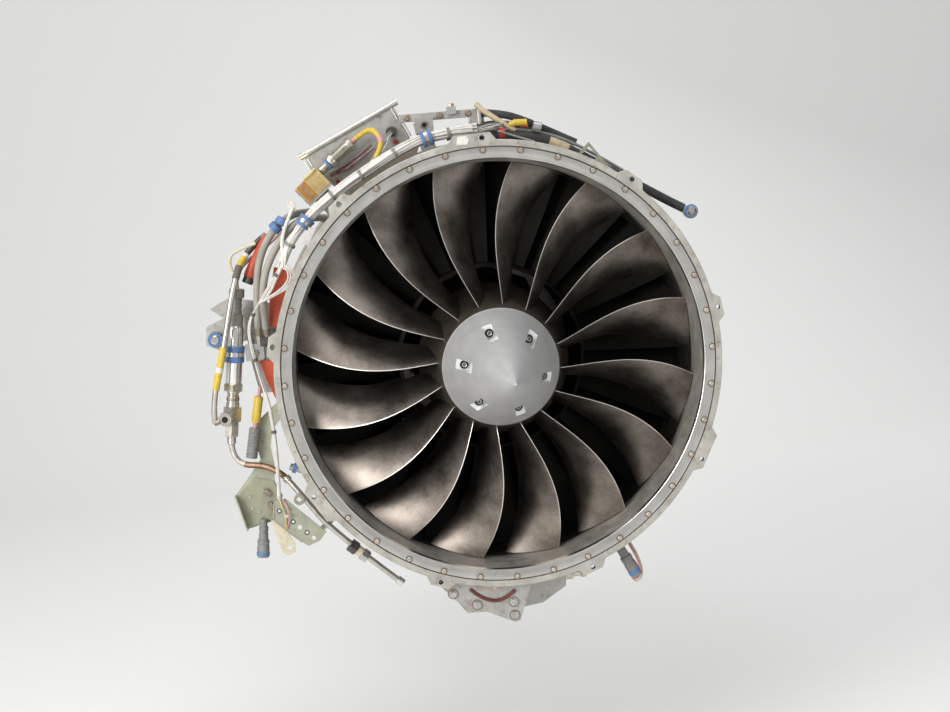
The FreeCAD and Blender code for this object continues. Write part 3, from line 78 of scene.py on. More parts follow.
def across(direction):
    """Two unit vectors square to a direction and to each other."""
    helper = Vector((0, 0, 1)) if abs(direction.z) < 0.9 else Vector((1, 0, 0))
    side = direction.cross(helper).normalized()
    return side, direction.cross(side).normalized()


class Shape:
    """Corners and faces of one piece, in millimetres, with the name of a finish on each face."""

    def __init__(self, finish):
        self.main = finish
        self.corners = []
        self.faces = []
        self.finishes = []

    def add(self, corners, faces, finish=None):
        """Adds faces in the main finish, in another one, or in one finish per face."""
        finish = finish or self.main
        start = len(self.corners)
        self.corners.extend(Vector(corner) for corner in corners)
        self.faces.extend(tuple(start + index for index in face) for face in faces)
        self.finishes.extend([finish] * len(faces) if isinstance(finish, str) else finish)

    def lathe(self, outline, segments, finish=None, origin=(0, 0, 0), axis=(0, 1, 0), closed=False):
        """Turns (radius, distance along the axis) corners about an axis, in one finish or one per edge."""
        finish = finish or self.main
        axis = Vector(axis).normalized()
        side, other = (Vector((1, 0, 0)), Vector((0, 0, 1))) if abs(axis.y) > 0.999 else across(axis)
        count = len(outline)
        edges = count if closed else count - 1
        per_edge = [finish] * edges if isinstance(finish, str) else list(finish)
        corners, faces = [], []
        for number in range(segments):
            angle = TURN * number / segments
            spoke = side * math.cos(angle) + other * math.sin(angle)
            corners.extend(Vector(origin) + spoke * radius + axis * along for radius, along in outline)
            here, there = number * count, (number + 1) % segments * count
            for edge in range(edges):
                after = (edge + 1) % count
                faces.append((here + edge, here + after, there + after, there + edge))
        self.add(corners, faces, per_edge * segments)

    def turned(self, start, end, steps, segments=24, finish=None):
        """Turned piece between two points from (share of the length, radius) steps, closed at both ends."""
        start, end = Vector(start), Vector(end)
        length = (end - start).length
        outline = [(0.001, steps[0][0] * length)]
        outline += [(radius, share * length) for share, radius in steps]
        outline.append((0.001, steps[-1][0] * length))
        self.lathe(outline, segments, finish, start, end - start)

    def bar(self, start, end, sides, flats, chamfer, finish=None):
        """Regular bar, such as a nut, with its far end chamfered."""
        reach = flats / 2 / math.cos(math.pi / sides)
        length = (Vector(end) - Vector(start)).length
        steps = [(0, reach), (1 - chamfer / length, reach), (1, reach - chamfer)]
        self.turned(start, end, steps, sides, finish)

    def box(self, low, high, finish=None, turn=0.0):
        """Box between two corners, turned about the engine axis."""
        low, high = Vector(low), Vector(high)
        corners = [Vector((x, y, z)) for x in (low.x, high.x) for y in (low.y, high.y)
                   for z in (low.z, high.z)]
        faces = [(0, 1, 3, 2), (4, 6, 7, 5), (0, 4, 5, 1), (2, 3, 7, 6), (0, 2, 6, 4), (1, 5, 7, 3)]
        self.add([about_axis(turn) @ corner for corner in corners], faces, finish)

    def slab(self, outline, station, thickness, finish=None):
        """Plate square to the engine axis from (x, z) corners."""
        count = len(outline)
        front = [Vector((x, station, z)) for x, z in outline]
        back = [corner + Vector((0, thickness, 0)) for corner in front]
        faces = [tuple(range(count)), tuple(reversed(range(count, 2 * count)))]
        for edge in range(count):
            after = (edge + 1) % count
            faces.append((edge, edge + count, after + count, after))
        self.add(front + back, faces, finish)

    def sweep(self, path, radius, sides=12, finish=None):
        """Round tube along a list of points; radius may be one value per point."""
        path = [Vector(point) for point in path]
        count = len(path)
        radii = radius if isinstance(radius, (list, tuple)) else [radius] * count
        heading = (path[1] - path[0]).normalized()
        side, _ = across(heading)
        corners = []
        for number, point in enumerate(path):
            before, after = path[max(number - 1, 0)], path[min(number + 1, count - 1)]
            heading = (after - before).normalized()
            side = (side - heading * side.dot(heading)).normalized()
            other = heading.cross(side)
            for corner in range(sides):
                angle = TURN * corner / sides
                corners.append(point + side * (radii[number] * math.cos(angle))
                               + other * (radii[number] * math.sin(angle)))
        faces = []
        for number in range(count - 1):
            for corner in range(sides):
                here, there = number * sides, (number + 1) * sides
                after = (corner + 1) % sides
                faces.append((here + corner, here + after, there + after, there + corner))
        faces.append(tuple(reversed(range(sides))))
        faces.append(tuple(range((count - 1) * sides, count * sides)))
        self.add(corners, faces, finish)

    def band(self, start, end, inner, outer, segments=24, finish=None, edge=0.4):
        """Closed ring between two points, with its outer corners taken off."""
        start, end = Vector(start), Vector(end)
        length = (end - start).length
        outline = [(inner, 0), (outer - edge, 0), (outer, edge),
                   (outer, length - edge), (outer - edge, length), (inner, length)]
        self.lathe(outline, segments, finish, start, end - start, closed=True)

    def bolt(self, seat, facing, flats, height, washer=None, finish=None):
        """Hexagonal bolt head with its top corners taken off, on a washer if that has a finish."""
        seat, facing = Vector(seat), Vector(facing).normalized()
        base = 0.0
        if washer:
            base = 0.7
            rim = flats * 0.68
            self.lathe([(0.001, 0), (rim, 0), (rim, base), (0.001, base)], 20, washer, seat, facing)
        reach = flats / 2 / math.cos(math.pi / 6)
        dish = height - 0.4
        self.lathe([(0.001, base), (reach, base), (reach, height - 0.5), (reach - 0.6, height),
                    (reach * 0.35, height), (reach * 0.3, dish), (0.001, dish)], 6, finish, seat, facing)

    def bolt_circle(self, radius, station, facing, count, flats, height, washer=None, finish=None):
        """Bolts spaced round the engine axis, all facing one way."""
        for number in range(count):
            seat = polar(radius, 360.0 * (number + 0.5) / count, station)
            self.bolt(seat, facing, flats, height, washer, finish)

    def ribbon(self, path, width, thickness, wide, finish=None):
        """Folded flat strip along points; wide is the direction across it."""
        path = [Vector(point) for point in path]
        reach = Vector(wide).normalized() * (width / 2)
        corners, faces = [], []
        for number, point in enumerate(path):
            before, after = path[max(number - 1, 0)], path[min(number + 1, len(path) - 1)]
            lift = (after - before).cross(reach).normalized() * (thickness / 2)
            corners += [point - reach - lift, point + reach - lift,
                        point + reach + lift, point - reach + lift]
        for number in range(len(path) - 1):
            here, there = 4 * number, 4 * number + 4
            faces += [(here + near, here + far, there + far, there + near)
                      for near, far in ((0, 1), (1, 2), (2, 3), (3, 0))]
        last = 4 * len(path) - 4
        faces += [(3, 2, 1, 0), (last, last + 1, last + 2, last + 3)]
        self.add(corners, faces, finish)

    def wire(self, route, radius, finish=None, sides=8):
        """Thin wire or lead that follows a route smoothly."""
        self.sweep(smooth_route(route, 8), radius, sides, finish)

    def bundle(self, route, count, radius, width, finishes, seed):
        """Wires that follow one route side by side and drift a little along it."""
        drift = np.random.default_rng(seed)
        route = [Vector(point) for point in route]
        for number in range(count):
            angle, reach = TURN * number * 0.382, width * math.sqrt((number + 0.5) / count)
            moved = []
            for place, point in enumerate(route):
                heading = route[min(place + 1, len(route) - 1)] - route[max(place - 1, 0)]
                side, other = across(heading.normalized())
                turn = angle + drift.uniform(-1.2, 1.2)
                moved.append(point + side * (reach * math.cos(turn)) + other * (reach * math.sin(turn)))
            self.wire(moved, radius, finishes[number % len(finishes)], 6)

    def make(self, name, slot=None, stands_for=(), body=ENGINE, sharp=SHARP_ANGLE, bevel=0.0, weld=True,
             written=None):
        """Makes the object with its finishes and any values written on its corners, on its body."""
        looks = list(dict.fromkeys(self.finishes))
        mesh = bpy.data.meshes.new(name)
        mesh.from_pydata([corner * MM for corner in self.corners], [], self.faces)
        for look in looks:
            mesh.materials.append(finish(look))
        numbers = {look: number for number, look in enumerate(looks)}
        mesh.polygons.foreach_set("material_index", [numbers[look] for look in self.finishes])
        for key, values in (written or {}).items():
            mesh.attributes.new(key, "FLOAT", "POINT").data.foreach_set("value", values)
        mesh.validate()
        tidy = bmesh.new()
        tidy.from_mesh(mesh)
        if weld:
            bmesh.ops.remove_doubles(tidy, verts=tidy.verts, dist=WELD_DISTANCE)
        bmesh.ops.recalc_face_normals(tidy, faces=tidy.faces)
        tidy.to_mesh(mesh)
        tidy.free()
        mesh.shade_smooth()
        mesh.set_sharp_from_angle(angle=math.radians(sharp))
        piece = bpy.data.objects.new(name, mesh)
        bpy.context.collection.objects.link(piece)
        if bevel:
            soften(piece, bevel)
        if stands_for:
            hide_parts(*stands_for)
        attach(piece, body)
        return piece


def soften(piece, width):
    """Rounds the edges of a piece by a small width in millimetres."""
    rounding = piece.modifiers.new("edge rounding", "BEVEL")
    rounding.width = width * MM
    rounding.segments = 2
    rounding.limit_method = "ANGLE"
    rounding.angle_limit = math.radians(35)
    rounding.harden_normals = True


def smooth_route(route, resolution):
    """Points along the smooth line that follows a route's points, in millimetres."""
    curve = bpy.data.curves.new("route", "CURVE")
    curve.dimensions = "3D"
    spline = curve.splines.new("NURBS")
    spline.points.add(len(route) - 1)
    for place, point in zip(spline.points, route):
        place.co = (*point, 1.0)
    spline.order_u = 3
    spline.use_endpoint_u = True
    spline.resolution_u = resolution
    carrier = bpy.data.objects.new("route", curve)
    mesh = bpy.data.meshes.new_from_object(carrier)
    points = [vertex.co.copy() for vertex in mesh.vertices]
    bpy.data.objects.remove(carrier)
    bpy.data.curves.remove(curve)
    bpy.data.meshes.remove(mesh)
    return points


def part_of_path(path, first, last):
    """Stretch of a path between two shares of its length, with points at both ends."""
    lengths = [0.0]
    for here, there in zip(path, path[1:]):
        lengths.append(lengths[-1] + (there - here).length)
    low, high = first * lengths[-1], last * lengths[-1]

    def at(distance):
        for number in range(len(path) - 1):
            if distance <= lengths[number + 1]:
                share = (distance - lengths[number]) / (lengths[number + 1] - lengths[number])
                return path[number].lerp(path[number + 1], share)
        return path[-1]

    inner = [point for point, length in zip(path, lengths) if low + 0.2 < length < high - 0.2]
    return [at(low)] + inner + [at(high)]


# ================================================================ finishes
def put(tree, kind, sockets=(), **settings):
    """Adds one shader node; sockets maps input names or numbers to values or to other outputs."""
    node = tree.nodes.new(kind)
    for name, value in settings.items():
        setattr(node, name, value)
    for name, value in dict(sockets).items():
        if isinstance(value, bpy.types.NodeSocket):
            tree.links.new(value, node.inputs[name])
        else:
            node.inputs[name].default_value = value
    return node


def sums(tree, operation, *values):
    """One step of arithmetic on shader values."""
    node = tree.nodes.new("ShaderNodeMath")
    node.operation = operation
    for number, value in enumerate(values):
        if isinstance(value, bpy.types.NodeSocket):
            tree.links.new(value, node.inputs[number])
        else:
            node.inputs[number].default_value = value
    return node.outputs[0]


def ramp(tree, value, stops):
    """Colour ramp from (place, colour) stops."""
    node = put(tree, "ShaderNodeValToRGB", {"Fac": value})
    elements = node.color_ramp.elements
    while len(elements) < len(stops):
        elements.new(0.5)
    for element, (place, colour) in zip(elements, stops):
        element.position = place
        element.color = (*colour, 1.0)
    return node.outputs["Color"]


def grey(level):
    return (level, level, level)


def spread(tree, value, low, high, first, last):
    """Maps a value from one span to another, held at both ends."""
    node = put(tree, "ShaderNodeMapRange", {"Value": value, "From Min": low, "From Max": high,
                                            "To Min": first, "To Max": last})
    return node.outputs["Result"]


def noise(tree, place, scale, detail=3.0, rough=0.55):
    """Cloudy value between 0 and 1."""
    node = put(tree, "ShaderNodeTexNoise", {"Vector": place, "Scale": scale, "Detail": detail,
                                            "Roughness": rough})
    return node.outputs["Fac"]


def mix(tree, share, first, last):
    """Mixes two colours; each may be a colour or an output."""
    node = put(tree, "ShaderNodeMix", data_type="RGBA")
    for number, value in ((0, share), (6, first), (7, last)):
        if isinstance(value, bpy.types.NodeSocket):
            tree.links.new(value, node.inputs[number])
        else:
            node.inputs[number].default_value = value if number == 0 else (*value, 1.0)
    return node.outputs[2]


def start_finish(name, metallic=0.0):
    """New material with its shader and the place on the object."""
    material = bpy.data.materials.new(name)
    material.use_nodes = True
    tree = material.node_tree
    shader = tree.nodes["Principled BSDF"]
    shader.inputs["Metallic"].default_value = metallic
    place = put(tree, "ShaderNodeTexCoord").outputs["Object"]
    return material, tree, shader, place


def from_axis(tree, place):
    """Distance from the engine axis, angle about it and station along it, as shader values."""
    x, y, z = put(tree, "ShaderNodeSeparateXYZ", {"Vector": place}).outputs
    radius = sums(tree, "SQRT", sums(tree, "MULTIPLY_ADD", x, x, sums(tree, "MULTIPLY", z, z)))
    return radius, sums(tree, "ARCTAN2", z, x), y


def bump(tree, shader, height, strength, distance):
    """Surface relief; distance is in metres."""
    node = put(tree, "ShaderNodeBump", {"Height": height, "Strength": strength, "Distance": distance})
    tree.links.new(node.outputs["Normal"], shader.inputs["Normal"])


def worn_finish(name, light, dark, metallic, rough=(0.35, 0.55), scale=30.0, grain=900.0, relief=0.15,
                dirt=None):
    """General finish: clouds between two colours, dirt in patches, fine grain in gloss and relief."""
    material, tree, shader, place = start_finish(name, metallic)
    clouds = noise(tree, place, scale, 5.0, 0.6)
    colour = ramp(tree, clouds, [(0.3, dark), (0.7, light)])
    if dirt:
        patches = spread(tree, noise(tree, place, scale * 2.3, 6.0, 0.7), 0.54, 0.72, 0.0, 0.85)
        colour = mix(tree, patches, colour, dirt)
    fine = noise(tree, place, grain, 2.0, 0.6)
    tree.links.new(colour, shader.inputs["Base Color"])
    both = sums(tree, "MULTIPLY_ADD", clouds, 0.5, sums(tree, "MULTIPLY", fine, 0.5))
    tree.links.new(spread(tree, both, 0.35, 0.65, rough[0], rough[1]), shader.inputs["Roughness"])
    bump(tree, shader, fine, relief, 0.0002)
    return material


def braid_finish(name, light, dark, metallic=0.0, pitch=500.0):
    """Fine woven sheath: crossed threads with dark gaps."""
    material, tree, shader, place = start_finish(name, metallic)
    waves = []
    for turn in (0.8, -0.8):
        turned = put(tree, "ShaderNodeMapping", {"Vector": place, "Rotation": (turn, turn * 0.7, turn)})
        wave = put(tree, "ShaderNodeTexWave", {"Vector": turned.outputs["Vector"], "Scale": pitch / 2,
                                               "Distortion": 0.6, "Detail": 1.0})
        waves.append(wave.outputs["Fac"])
    weave = sums(tree, "MULTIPLY", *waves)
    colour = ramp(tree, weave, [(0.02, dark), (0.35, light)])
    tint = noise(tree, place, 60.0, 4.0)
    shade = spread(tree, tint, 0.4, 0.7, 0.0, 0.5)
    tree.links.new(mix(tree, shade, colour, dark), shader.inputs["Base Color"])
    tree.links.new(spread(tree, weave, 0.0, 1.0, 0.75, 0.45), shader.inputs["Roughness"])
    bump(tree, shader, weave, 0.6, 0.0004)
    return material


def ring_finish(name, light, dark, stain, rough=(0.28, 0.42)):
    """Machined ring: fine turning lines, faint clouds, brown rings round the screws, runs of dirt and a
    painted shadow line at its outer edge.
    """
    ring = bpy.context.scene.turbofan_rings
    material, tree, shader, place = start_finish(name, 1.0)
    radius, angle = from_axis(tree, place)[:2]
    lines = put(tree, "ShaderNodeCombineXYZ", {"X": sums(tree, "MULTIPLY", radius, 900.0),
                                               "Y": sums(tree, "MULTIPLY", angle, 1.2), "Z": 0.0}).outputs[0]
    turning = noise(tree, lines, 3.0, 4.0, 0.7)
    clouds = noise(tree, place, 22.0, 6.0, 0.65)
    colour = ramp(tree, sums(tree, "MULTIPLY_ADD", turning, 0.35, sums(tree, "MULTIPLY", clouds, 0.65)),
                  [(0.36, dark), (0.62, light)])
    pitch = TURN / ring.screw_count
    turns = sums(tree, "DIVIDE", sums(tree, "SUBTRACT", angle, math.radians(ring.screw_phase)), pitch)
    nearest = sums(tree, "SUBTRACT", sums(tree, "FRACT", sums(tree, "ADD", turns, 0.5)), 0.5)
    sideways = sums(tree, "MULTIPLY", sums(tree, "MULTIPLY", nearest, pitch), radius)
    outward = sums(tree, "SUBTRACT", radius, ring.screw_circle * MM)
    reach = sums(tree, "SQRT", sums(tree, "MULTIPLY_ADD", sideways, sideways,
                                    sums(tree, "MULTIPLY", outward, outward)))
    patchy = noise(tree, place, 130.0, 4.0, 0.6)
    halo = sums(tree, "MULTIPLY", spread(tree, reach, 0.0028, 0.0062, 0.9, 0.0),
                spread(tree, patchy, 0.3, 0.6, 0.35, 1.0))
    colour = mix(tree, halo, colour, stain)
    marks = spread(tree, noise(tree, place, 60.0, 8.0, 0.75), 0.6, 0.7, 0.0, 0.55)
    colour = mix(tree, marks, colour, stain)
    # Near-black line at the lip's outer edge: painted shadow of the step down to the flange.
    colour = mix(tree, spread(tree, radius, 0.2842, 0.2847, 0.0, 0.92), colour, (0.03, 0.025, 0.02))
    tree.links.new(colour, shader.inputs["Base Color"])
    tree.links.new(spread(tree, sums(tree, "ADD", turning, marks), 0.3, 1.0, rough[0], rough[1]),
                   shader.inputs["Roughness"])
    bump(tree, shader, turning, 0.1, 0.0002)
    return material


def blade_finish(name):
    """Satin titanium: brown-grey clouds, with painted shade darker towards the root, a painted highlight
    along the leading edge and a bright root.
    """
    fan = bpy.context.scene.turbofan_fan
    material, tree, shader, place = start_finish(name, 1.0)
    chord = put(tree, "ShaderNodeAttribute", attribute_name="chord").outputs["Fac"]
    span = put(tree, "ShaderNodeAttribute", attribute_name="span").outputs["Fac"]
    clouds = noise(tree, place, 26.0, 6.0, 0.62)
    fine = noise(tree, place, 240.0, 4.0, 0.6)
    brown, warm = tuple(fan.blade_dark), tuple(fan.blade_light)
    colour = ramp(tree, sums(tree, "MULTIPLY_ADD", clouds, 0.75, sums(tree, "MULTIPLY", fine, 0.25)),
                  [(0.32, brown), (0.68, warm)])
    # Painted shade: the blade darkens towards the root, where the passage between the blades lies in shadow.
    painted_root_shade = spread(tree, span, 0.05, 0.55, 0.55, 0.0)
    colour = mix(tree, painted_root_shade, colour, tuple(0.55 * part for part in brown))
    # Painted highlight along the leading edge; the bright root below takes the same colour.
    edge = tuple(fan.edge_highlight_colour)
    painted_edge_highlight = spread(tree, chord, 0.005, 0.014, 1.0, 0.0)
    colour = mix(tree, painted_edge_highlight, colour, edge)
    root = sums(tree, "MULTIPLY", spread(tree, span, 0.0, 0.035, 0.8, 0.0),
                spread(tree, chord, 0.05, 0.3, 1.0, 0.0))
    colour = mix(tree, root, colour, edge)
    tree.links.new(colour, shader.inputs["Base Color"])
    grain = sums(tree, "MULTIPLY_ADD", clouds, 0.6, sums(tree, "MULTIPLY", fine, 0.4))
    tree.links.new(spread(tree, grain, 0.3, 0.7, 0.34, 0.52), shader.inputs["Roughness"])
    bump(tree, shader, fine, 0.08, 0.0003)
    return material


def turned_metal(name, light, dark, rough=(0.27, 0.4), lines=700.0, metallic=1.0):
    """Metal with fine turning marks about the engine axis."""
    material, tree, shader, place = start_finish(name, metallic)
    radius, angle, station = from_axis(tree, place)
    path = put(tree, "ShaderNodeCombineXYZ", {"X": sums(tree, "MULTIPLY", radius, lines),
                                              "Y": sums(tree, "MULTIPLY", station, lines),
                                              "Z": sums(tree, "MULTIPLY", angle, 0.6)}).outputs[0]
    turning = noise(tree, path, 2.0, 4.0, 0.7)
    clouds = noise(tree, place, 35.0, 5.0, 0.6)
    colour = ramp(tree, sums(tree, "MULTIPLY_ADD", turning, 0.4, sums(tree, "MULTIPLY", clouds, 0.6)),
                  [(0.35, dark), (0.65, light)])
    tree.links.new(colour, shader.inputs["Base Color"])
    tree.links.new(spread(tree, turning, 0.3, 0.7, rough[0], rough[1]), shader.inputs["Roughness"])
    bump(tree, shader, turning, 0.12, 0.00015)
    return material


def heat_finish(name, straw, blue, plain):
    """Heat-tinted steel: straw and blue tints along the axis over brushed grey."""
    material, tree, shader, place = start_finish(name, 1.0)
    split = put(tree, "ShaderNodeSeparateXYZ", {"Vector": place})
    clouds = noise(tree, place, 9.0, 6.0, 0.6)
    along = sums(tree, "MULTIPLY_ADD", split.outputs["Y"], 1.6, sums(tree, "MULTIPLY", clouds, 0.7))
    colour = ramp(tree, sums(tree, "FRACT", along),
                  [(0.0, plain), (0.35, straw), (0.62, plain), (0.85, blue), (1.0, plain)])
    fine = noise(tree, place, 300.0, 3.0, 0.6)
    tree.links.new(colour, shader.inputs["Base Color"])
    tree.links.new(spread(tree, fine, 0.3, 0.7, 0.3, 0.46), shader.inputs["Roughness"])
    bump(tree, shader, fine, 0.1, 0.0002)
    return material


def painted_shade_finish(name, *row):
    """General finish without most of its sheen, for near-black painted shade."""
    material = worn_finish(name, *row)
    shader = material.node_tree.nodes["Principled BSDF"]
    shader.inputs["Specular IOR Level"].default_value = 0.12
    return material


def frame_finish(name, light, dark, air_path_shade):
    """Grey casting outside the air path, with near-black painted shade within it."""
    material, tree, shader, place = start_finish(name, 0.6)
    radius = from_axis(tree, place)[0]
    clouds = noise(tree, place, 30.0, 5.0, 0.6)
    fine = noise(tree, place, 420.0, 3.0, 0.6)
    casting = ramp(tree, clouds, [(0.3, dark), (0.7, light)])
    # Painted shade: near-black within the air path, under a radius of 266.8 mm.
    colour = mix(tree, spread(tree, radius, 0.2668, 0.2672, 1.0, 0.0), casting, air_path_shade)
    tree.links.new(colour, shader.inputs["Base Color"])
    tree.links.new(spread(tree, fine, 0.3, 0.7, 0.45, 0.62), shader.inputs["Roughness"])
    bump(tree, shader, fine, 0.35, 0.0002)
    return material


FINISHES = {
    blade_finish: {"blade titanium": ()},
    # Light, dark, stain.
    ring_finish: {
        "lip aluminium": ((0.66, 0.65, 0.62), (0.47, 0.46, 0.43), (0.20, 0.13, 0.08)),
    },
    # Light, dark, painted shade within the air path.
    frame_finish: {
        "frame casting": ((0.46, 0.45, 0.41), (0.34, 0.33, 0.30), (0.02, 0.018, 0.016)),
    },
    # Straw, blue, plain.
    heat_finish: {
        "hot steel": ((0.42, 0.34, 0.24), (0.27, 0.28, 0.33), (0.40, 0.38, 0.35)),
    },
    # Light, dark, roughness, fineness of the turning lines, metallic.
    turned_metal: {
        "spinner aluminium": (grey(0.74), grey(0.64), (0.38, 0.5), 700.0, 0.75),
        "hub titanium": ((0.20, 0.17, 0.14), (0.10, 0.085, 0.07), (0.4, 0.55)),
        "band metal": (grey(0.6), grey(0.42), (0.25, 0.4)),
        "shaft steel": (grey(0.55), grey(0.4)),
    },
    # Light, dark, metallic, fineness of the weave.
    braid_finish: {
        "grey hose": ((0.44, 0.41, 0.36), (0.25, 0.23, 0.20), 0.0, 700.0),
        "steel braid": ((0.62, 0.61, 0.58), (0.22, 0.21, 0.2), 0.8, 800.0),
        "black braid": ((0.055, 0.055, 0.06), (0.012, 0.012, 0.013), 0.0, 700.0),
        "dark braid": ((0.20, 0.18, 0.15), (0.06, 0.055, 0.05), 0.1, 700.0),
    },
    # Light, dark, metallic, roughness, fineness of the clouds and of the grain, relief.
    # Near-black painted shade for the lining and the vanes in the dark air path behind the fan.
    painted_shade_finish: {
        "duct lining": ((0.028, 0.026, 0.024), (0.014, 0.013, 0.012), 0.0, (0.7, 0.85), 80.0, 900.0, 0.3),
        "vane metal": ((0.014, 0.013, 0.012), (0.006, 0.006, 0.005), 0.0, (0.7, 0.85), 40.0),
    },
    # Light, dark, metallic, roughness, fineness of the clouds and of the grain, relief, dirt.
    worn_finish: {
        "flange aluminium": ((0.56, 0.54, 0.49), (0.40, 0.38, 0.34), 0.85, (0.38, 0.56), 34.0, 700.0, 0.2,
                             (0.20, 0.15, 0.10)),
        "case aluminium": ((0.42, 0.41, 0.38), (0.29, 0.28, 0.26), 0.7, (0.45, 0.62), 24.0, 500.0, 0.25,
                           (0.15, 0.12, 0.09)),
        "rub coat": ((0.33, 0.31, 0.28), (0.20, 0.19, 0.17), 0.5, (0.45, 0.65), 60.0, 800.0, 0.3),
        "duct skin": ((0.60, 0.60, 0.58), (0.48, 0.48, 0.46), 0.85, (0.32, 0.48), 12.0, 600.0, 0.12,
                      (0.36, 0.33, 0.28)),
        "steel": ((0.60, 0.59, 0.57), (0.42, 0.41, 0.39), 1.0, (0.25, 0.42), 90.0, 900.0, 0.1,
                  (0.20, 0.16, 0.12)),
        "dark steel": ((0.16, 0.15, 0.14), (0.07, 0.065, 0.06), 0.9, (0.35, 0.55), 120.0),
        "stained steel": ((0.44, 0.38, 0.31), (0.24, 0.19, 0.14), 0.9, (0.35, 0.55), 160.0, 900.0, 0.15,
                          (0.12, 0.08, 0.05)),
        "polished steel": ((0.84, 0.83, 0.81), (0.68, 0.67, 0.65), 1.0, (0.12, 0.24), 60.0, 500.0, 0.05),
        "nickel": ((0.66, 0.63, 0.56), (0.50, 0.47, 0.41), 1.0, (0.22, 0.38), 80.0, 700.0, 0.1,
                   (0.22, 0.18, 0.13)),
        "tube steel": ((0.62, 0.60, 0.56), (0.45, 0.43, 0.39), 1.0, (0.25, 0.4), 50.0, 600.0, 0.08,
                       (0.30, 0.24, 0.17)),
        "pocket metal": ((0.86, 0.86, 0.85), (0.76, 0.76, 0.75), 0.4, (0.3, 0.45), 90.0),
        "screw black": ((0.03, 0.03, 0.03), (0.012, 0.012, 0.012), 0.6, (0.35, 0.5), 200.0),
        "cushion blue": ((0.105, 0.20, 0.40), (0.06, 0.125, 0.27), 0.0, (0.55, 0.75), 120.0, 900.0, 0.3,
                         (0.06, 0.08, 0.12)),
        "olive primer": ((0.34, 0.34, 0.245), (0.25, 0.25, 0.175), 0.1, (0.48, 0.65), 40.0, 600.0, 0.25,
                         (0.19, 0.17, 0.12)),
        "pale primer": ((0.42, 0.43, 0.33), (0.31, 0.32, 0.24), 0.1, (0.48, 0.65), 40.0, 600.0, 0.25,
                        (0.24, 0.21, 0.15)),
        "grey plate": ((0.46, 0.45, 0.43), (0.34, 0.33, 0.31), 0.6, (0.4, 0.58), 45.0, 500.0, 0.2,
                       (0.20, 0.17, 0.13)),
        "cast grey": ((0.47, 0.46, 0.43), (0.35, 0.34, 0.32), 0.5, (0.45, 0.62), 50.0, 380.0, 0.4,
                      (0.17, 0.14, 0.11)),
        "rod metal": ((0.70, 0.69, 0.66), (0.55, 0.54, 0.51), 0.9, (0.3, 0.45), 60.0),
        "gold plate": ((0.80, 0.62, 0.30), (0.62, 0.45, 0.20), 0.9, (0.28, 0.42), 50.0, 700.0, 0.1,
                       (0.35, 0.24, 0.12)),
        "amber tape": ((0.45, 0.22, 0.05), (0.30, 0.13, 0.03), 0.2, (0.25, 0.4), 70.0),
        "yellow sleeve": ((0.60, 0.44, 0.05), (0.44, 0.31, 0.035), 0.0, (0.4, 0.55), 80.0, 700.0, 0.15,
                          (0.28, 0.20, 0.06)),
        "orange silicone": ((0.52, 0.075, 0.03), (0.38, 0.05, 0.02), 0.0, (0.42, 0.6), 50.0, 500.0, 0.2,
                            (0.26, 0.07, 0.03)),
        "pink jacket": ((0.56, 0.28, 0.26), (0.42, 0.20, 0.185), 0.0, (0.4, 0.55), 90.0),
        "red mark": ((0.42, 0.035, 0.028), (0.30, 0.022, 0.018), 0.0, (0.4, 0.55), 90.0),
        "dark red seal": ((0.14, 0.03, 0.022), (0.08, 0.018, 0.014), 0.0, (0.45, 0.6), 60.0),
        "white jacket": ((0.66, 0.64, 0.60), (0.50, 0.48, 0.44), 0.0, (0.4, 0.58), 90.0, 700.0, 0.15,
                         (0.36, 0.31, 0.24)),
        "cream sleeve": ((0.58, 0.53, 0.40), (0.44, 0.40, 0.29), 0.0, (0.45, 0.6), 80.0, 700.0, 0.15,
                         (0.30, 0.25, 0.16)),
        "tan sleeve": ((0.52, 0.42, 0.27), (0.38, 0.30, 0.19), 0.1, (0.45, 0.6), 70.0, 700.0, 0.2,
                       (0.18, 0.14, 0.09)),
        "grey plastic": ((0.22, 0.22, 0.21), (0.14, 0.14, 0.135), 0.0, (0.42, 0.58), 80.0, 700.0, 0.15,
                         (0.12, 0.11, 0.10)),
        "sealant": ((0.70, 0.69, 0.64), (0.55, 0.54, 0.49), 0.2, (0.5, 0.7), 180.0, 400.0, 0.8),
        "warm plastic": ((0.26, 0.25, 0.22), (0.17, 0.16, 0.145), 0.1, (0.4, 0.55), 90.0, 800.0, 0.15,
                         (0.10, 0.09, 0.075)),
        "grey green": ((0.36, 0.37, 0.285), (0.27, 0.28, 0.215), 0.2, (0.45, 0.6), 45.0, 600.0, 0.2,
                       (0.18, 0.16, 0.12)),
        "heat brown": ((0.30, 0.19, 0.12), (0.16, 0.10, 0.06), 0.9, (0.3, 0.45), 70.0),
        "blush plate": ((0.46, 0.38, 0.36), (0.34, 0.29, 0.27), 0.4, (0.45, 0.6), 60.0, 500.0, 0.25,
                        (0.22, 0.15, 0.12)),
        "tan sheet": ((0.50, 0.44, 0.36), (0.36, 0.31, 0.25), 0.4, (0.4, 0.55), 40.0, 600.0, 0.2,
                      (0.22, 0.17, 0.12)),
    },
}


def finish(name):
    """The finish of that name, made the first time it is asked for."""
    found = bpy.data.materials.get(name)
    if found:
        return found
    kind, rows = next((kind, rows) for kind, rows in FINISHES.items() if name in rows)
    return kind(name, *rows[name])


def repaint(node, name, bevel=0.0):
    """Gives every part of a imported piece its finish, and rounds its edges."""
    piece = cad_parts[node]
    if not piece.material_slots:
        piece.data.materials.append(finish(name))
    for place in piece.material_slots:
        place.material = finish(name)
    if bevel:
        soften(piece, bevel)


def tube_run(name, route, radius, look, slot, stands_for, bands=()):
    """Tube or hose along a route; bands are (first share, last share, extra radius, finish)."""
    path = smooth_route(route, 14)
    shape = Shape(look)
    shape.sweep(path, radius, 20)
    for first, last, extra, band_look in bands:
        shape.sweep(part_of_path(path, first, last), radius + extra, 20, band_look)
    shape.make(name, slot, stands_for)


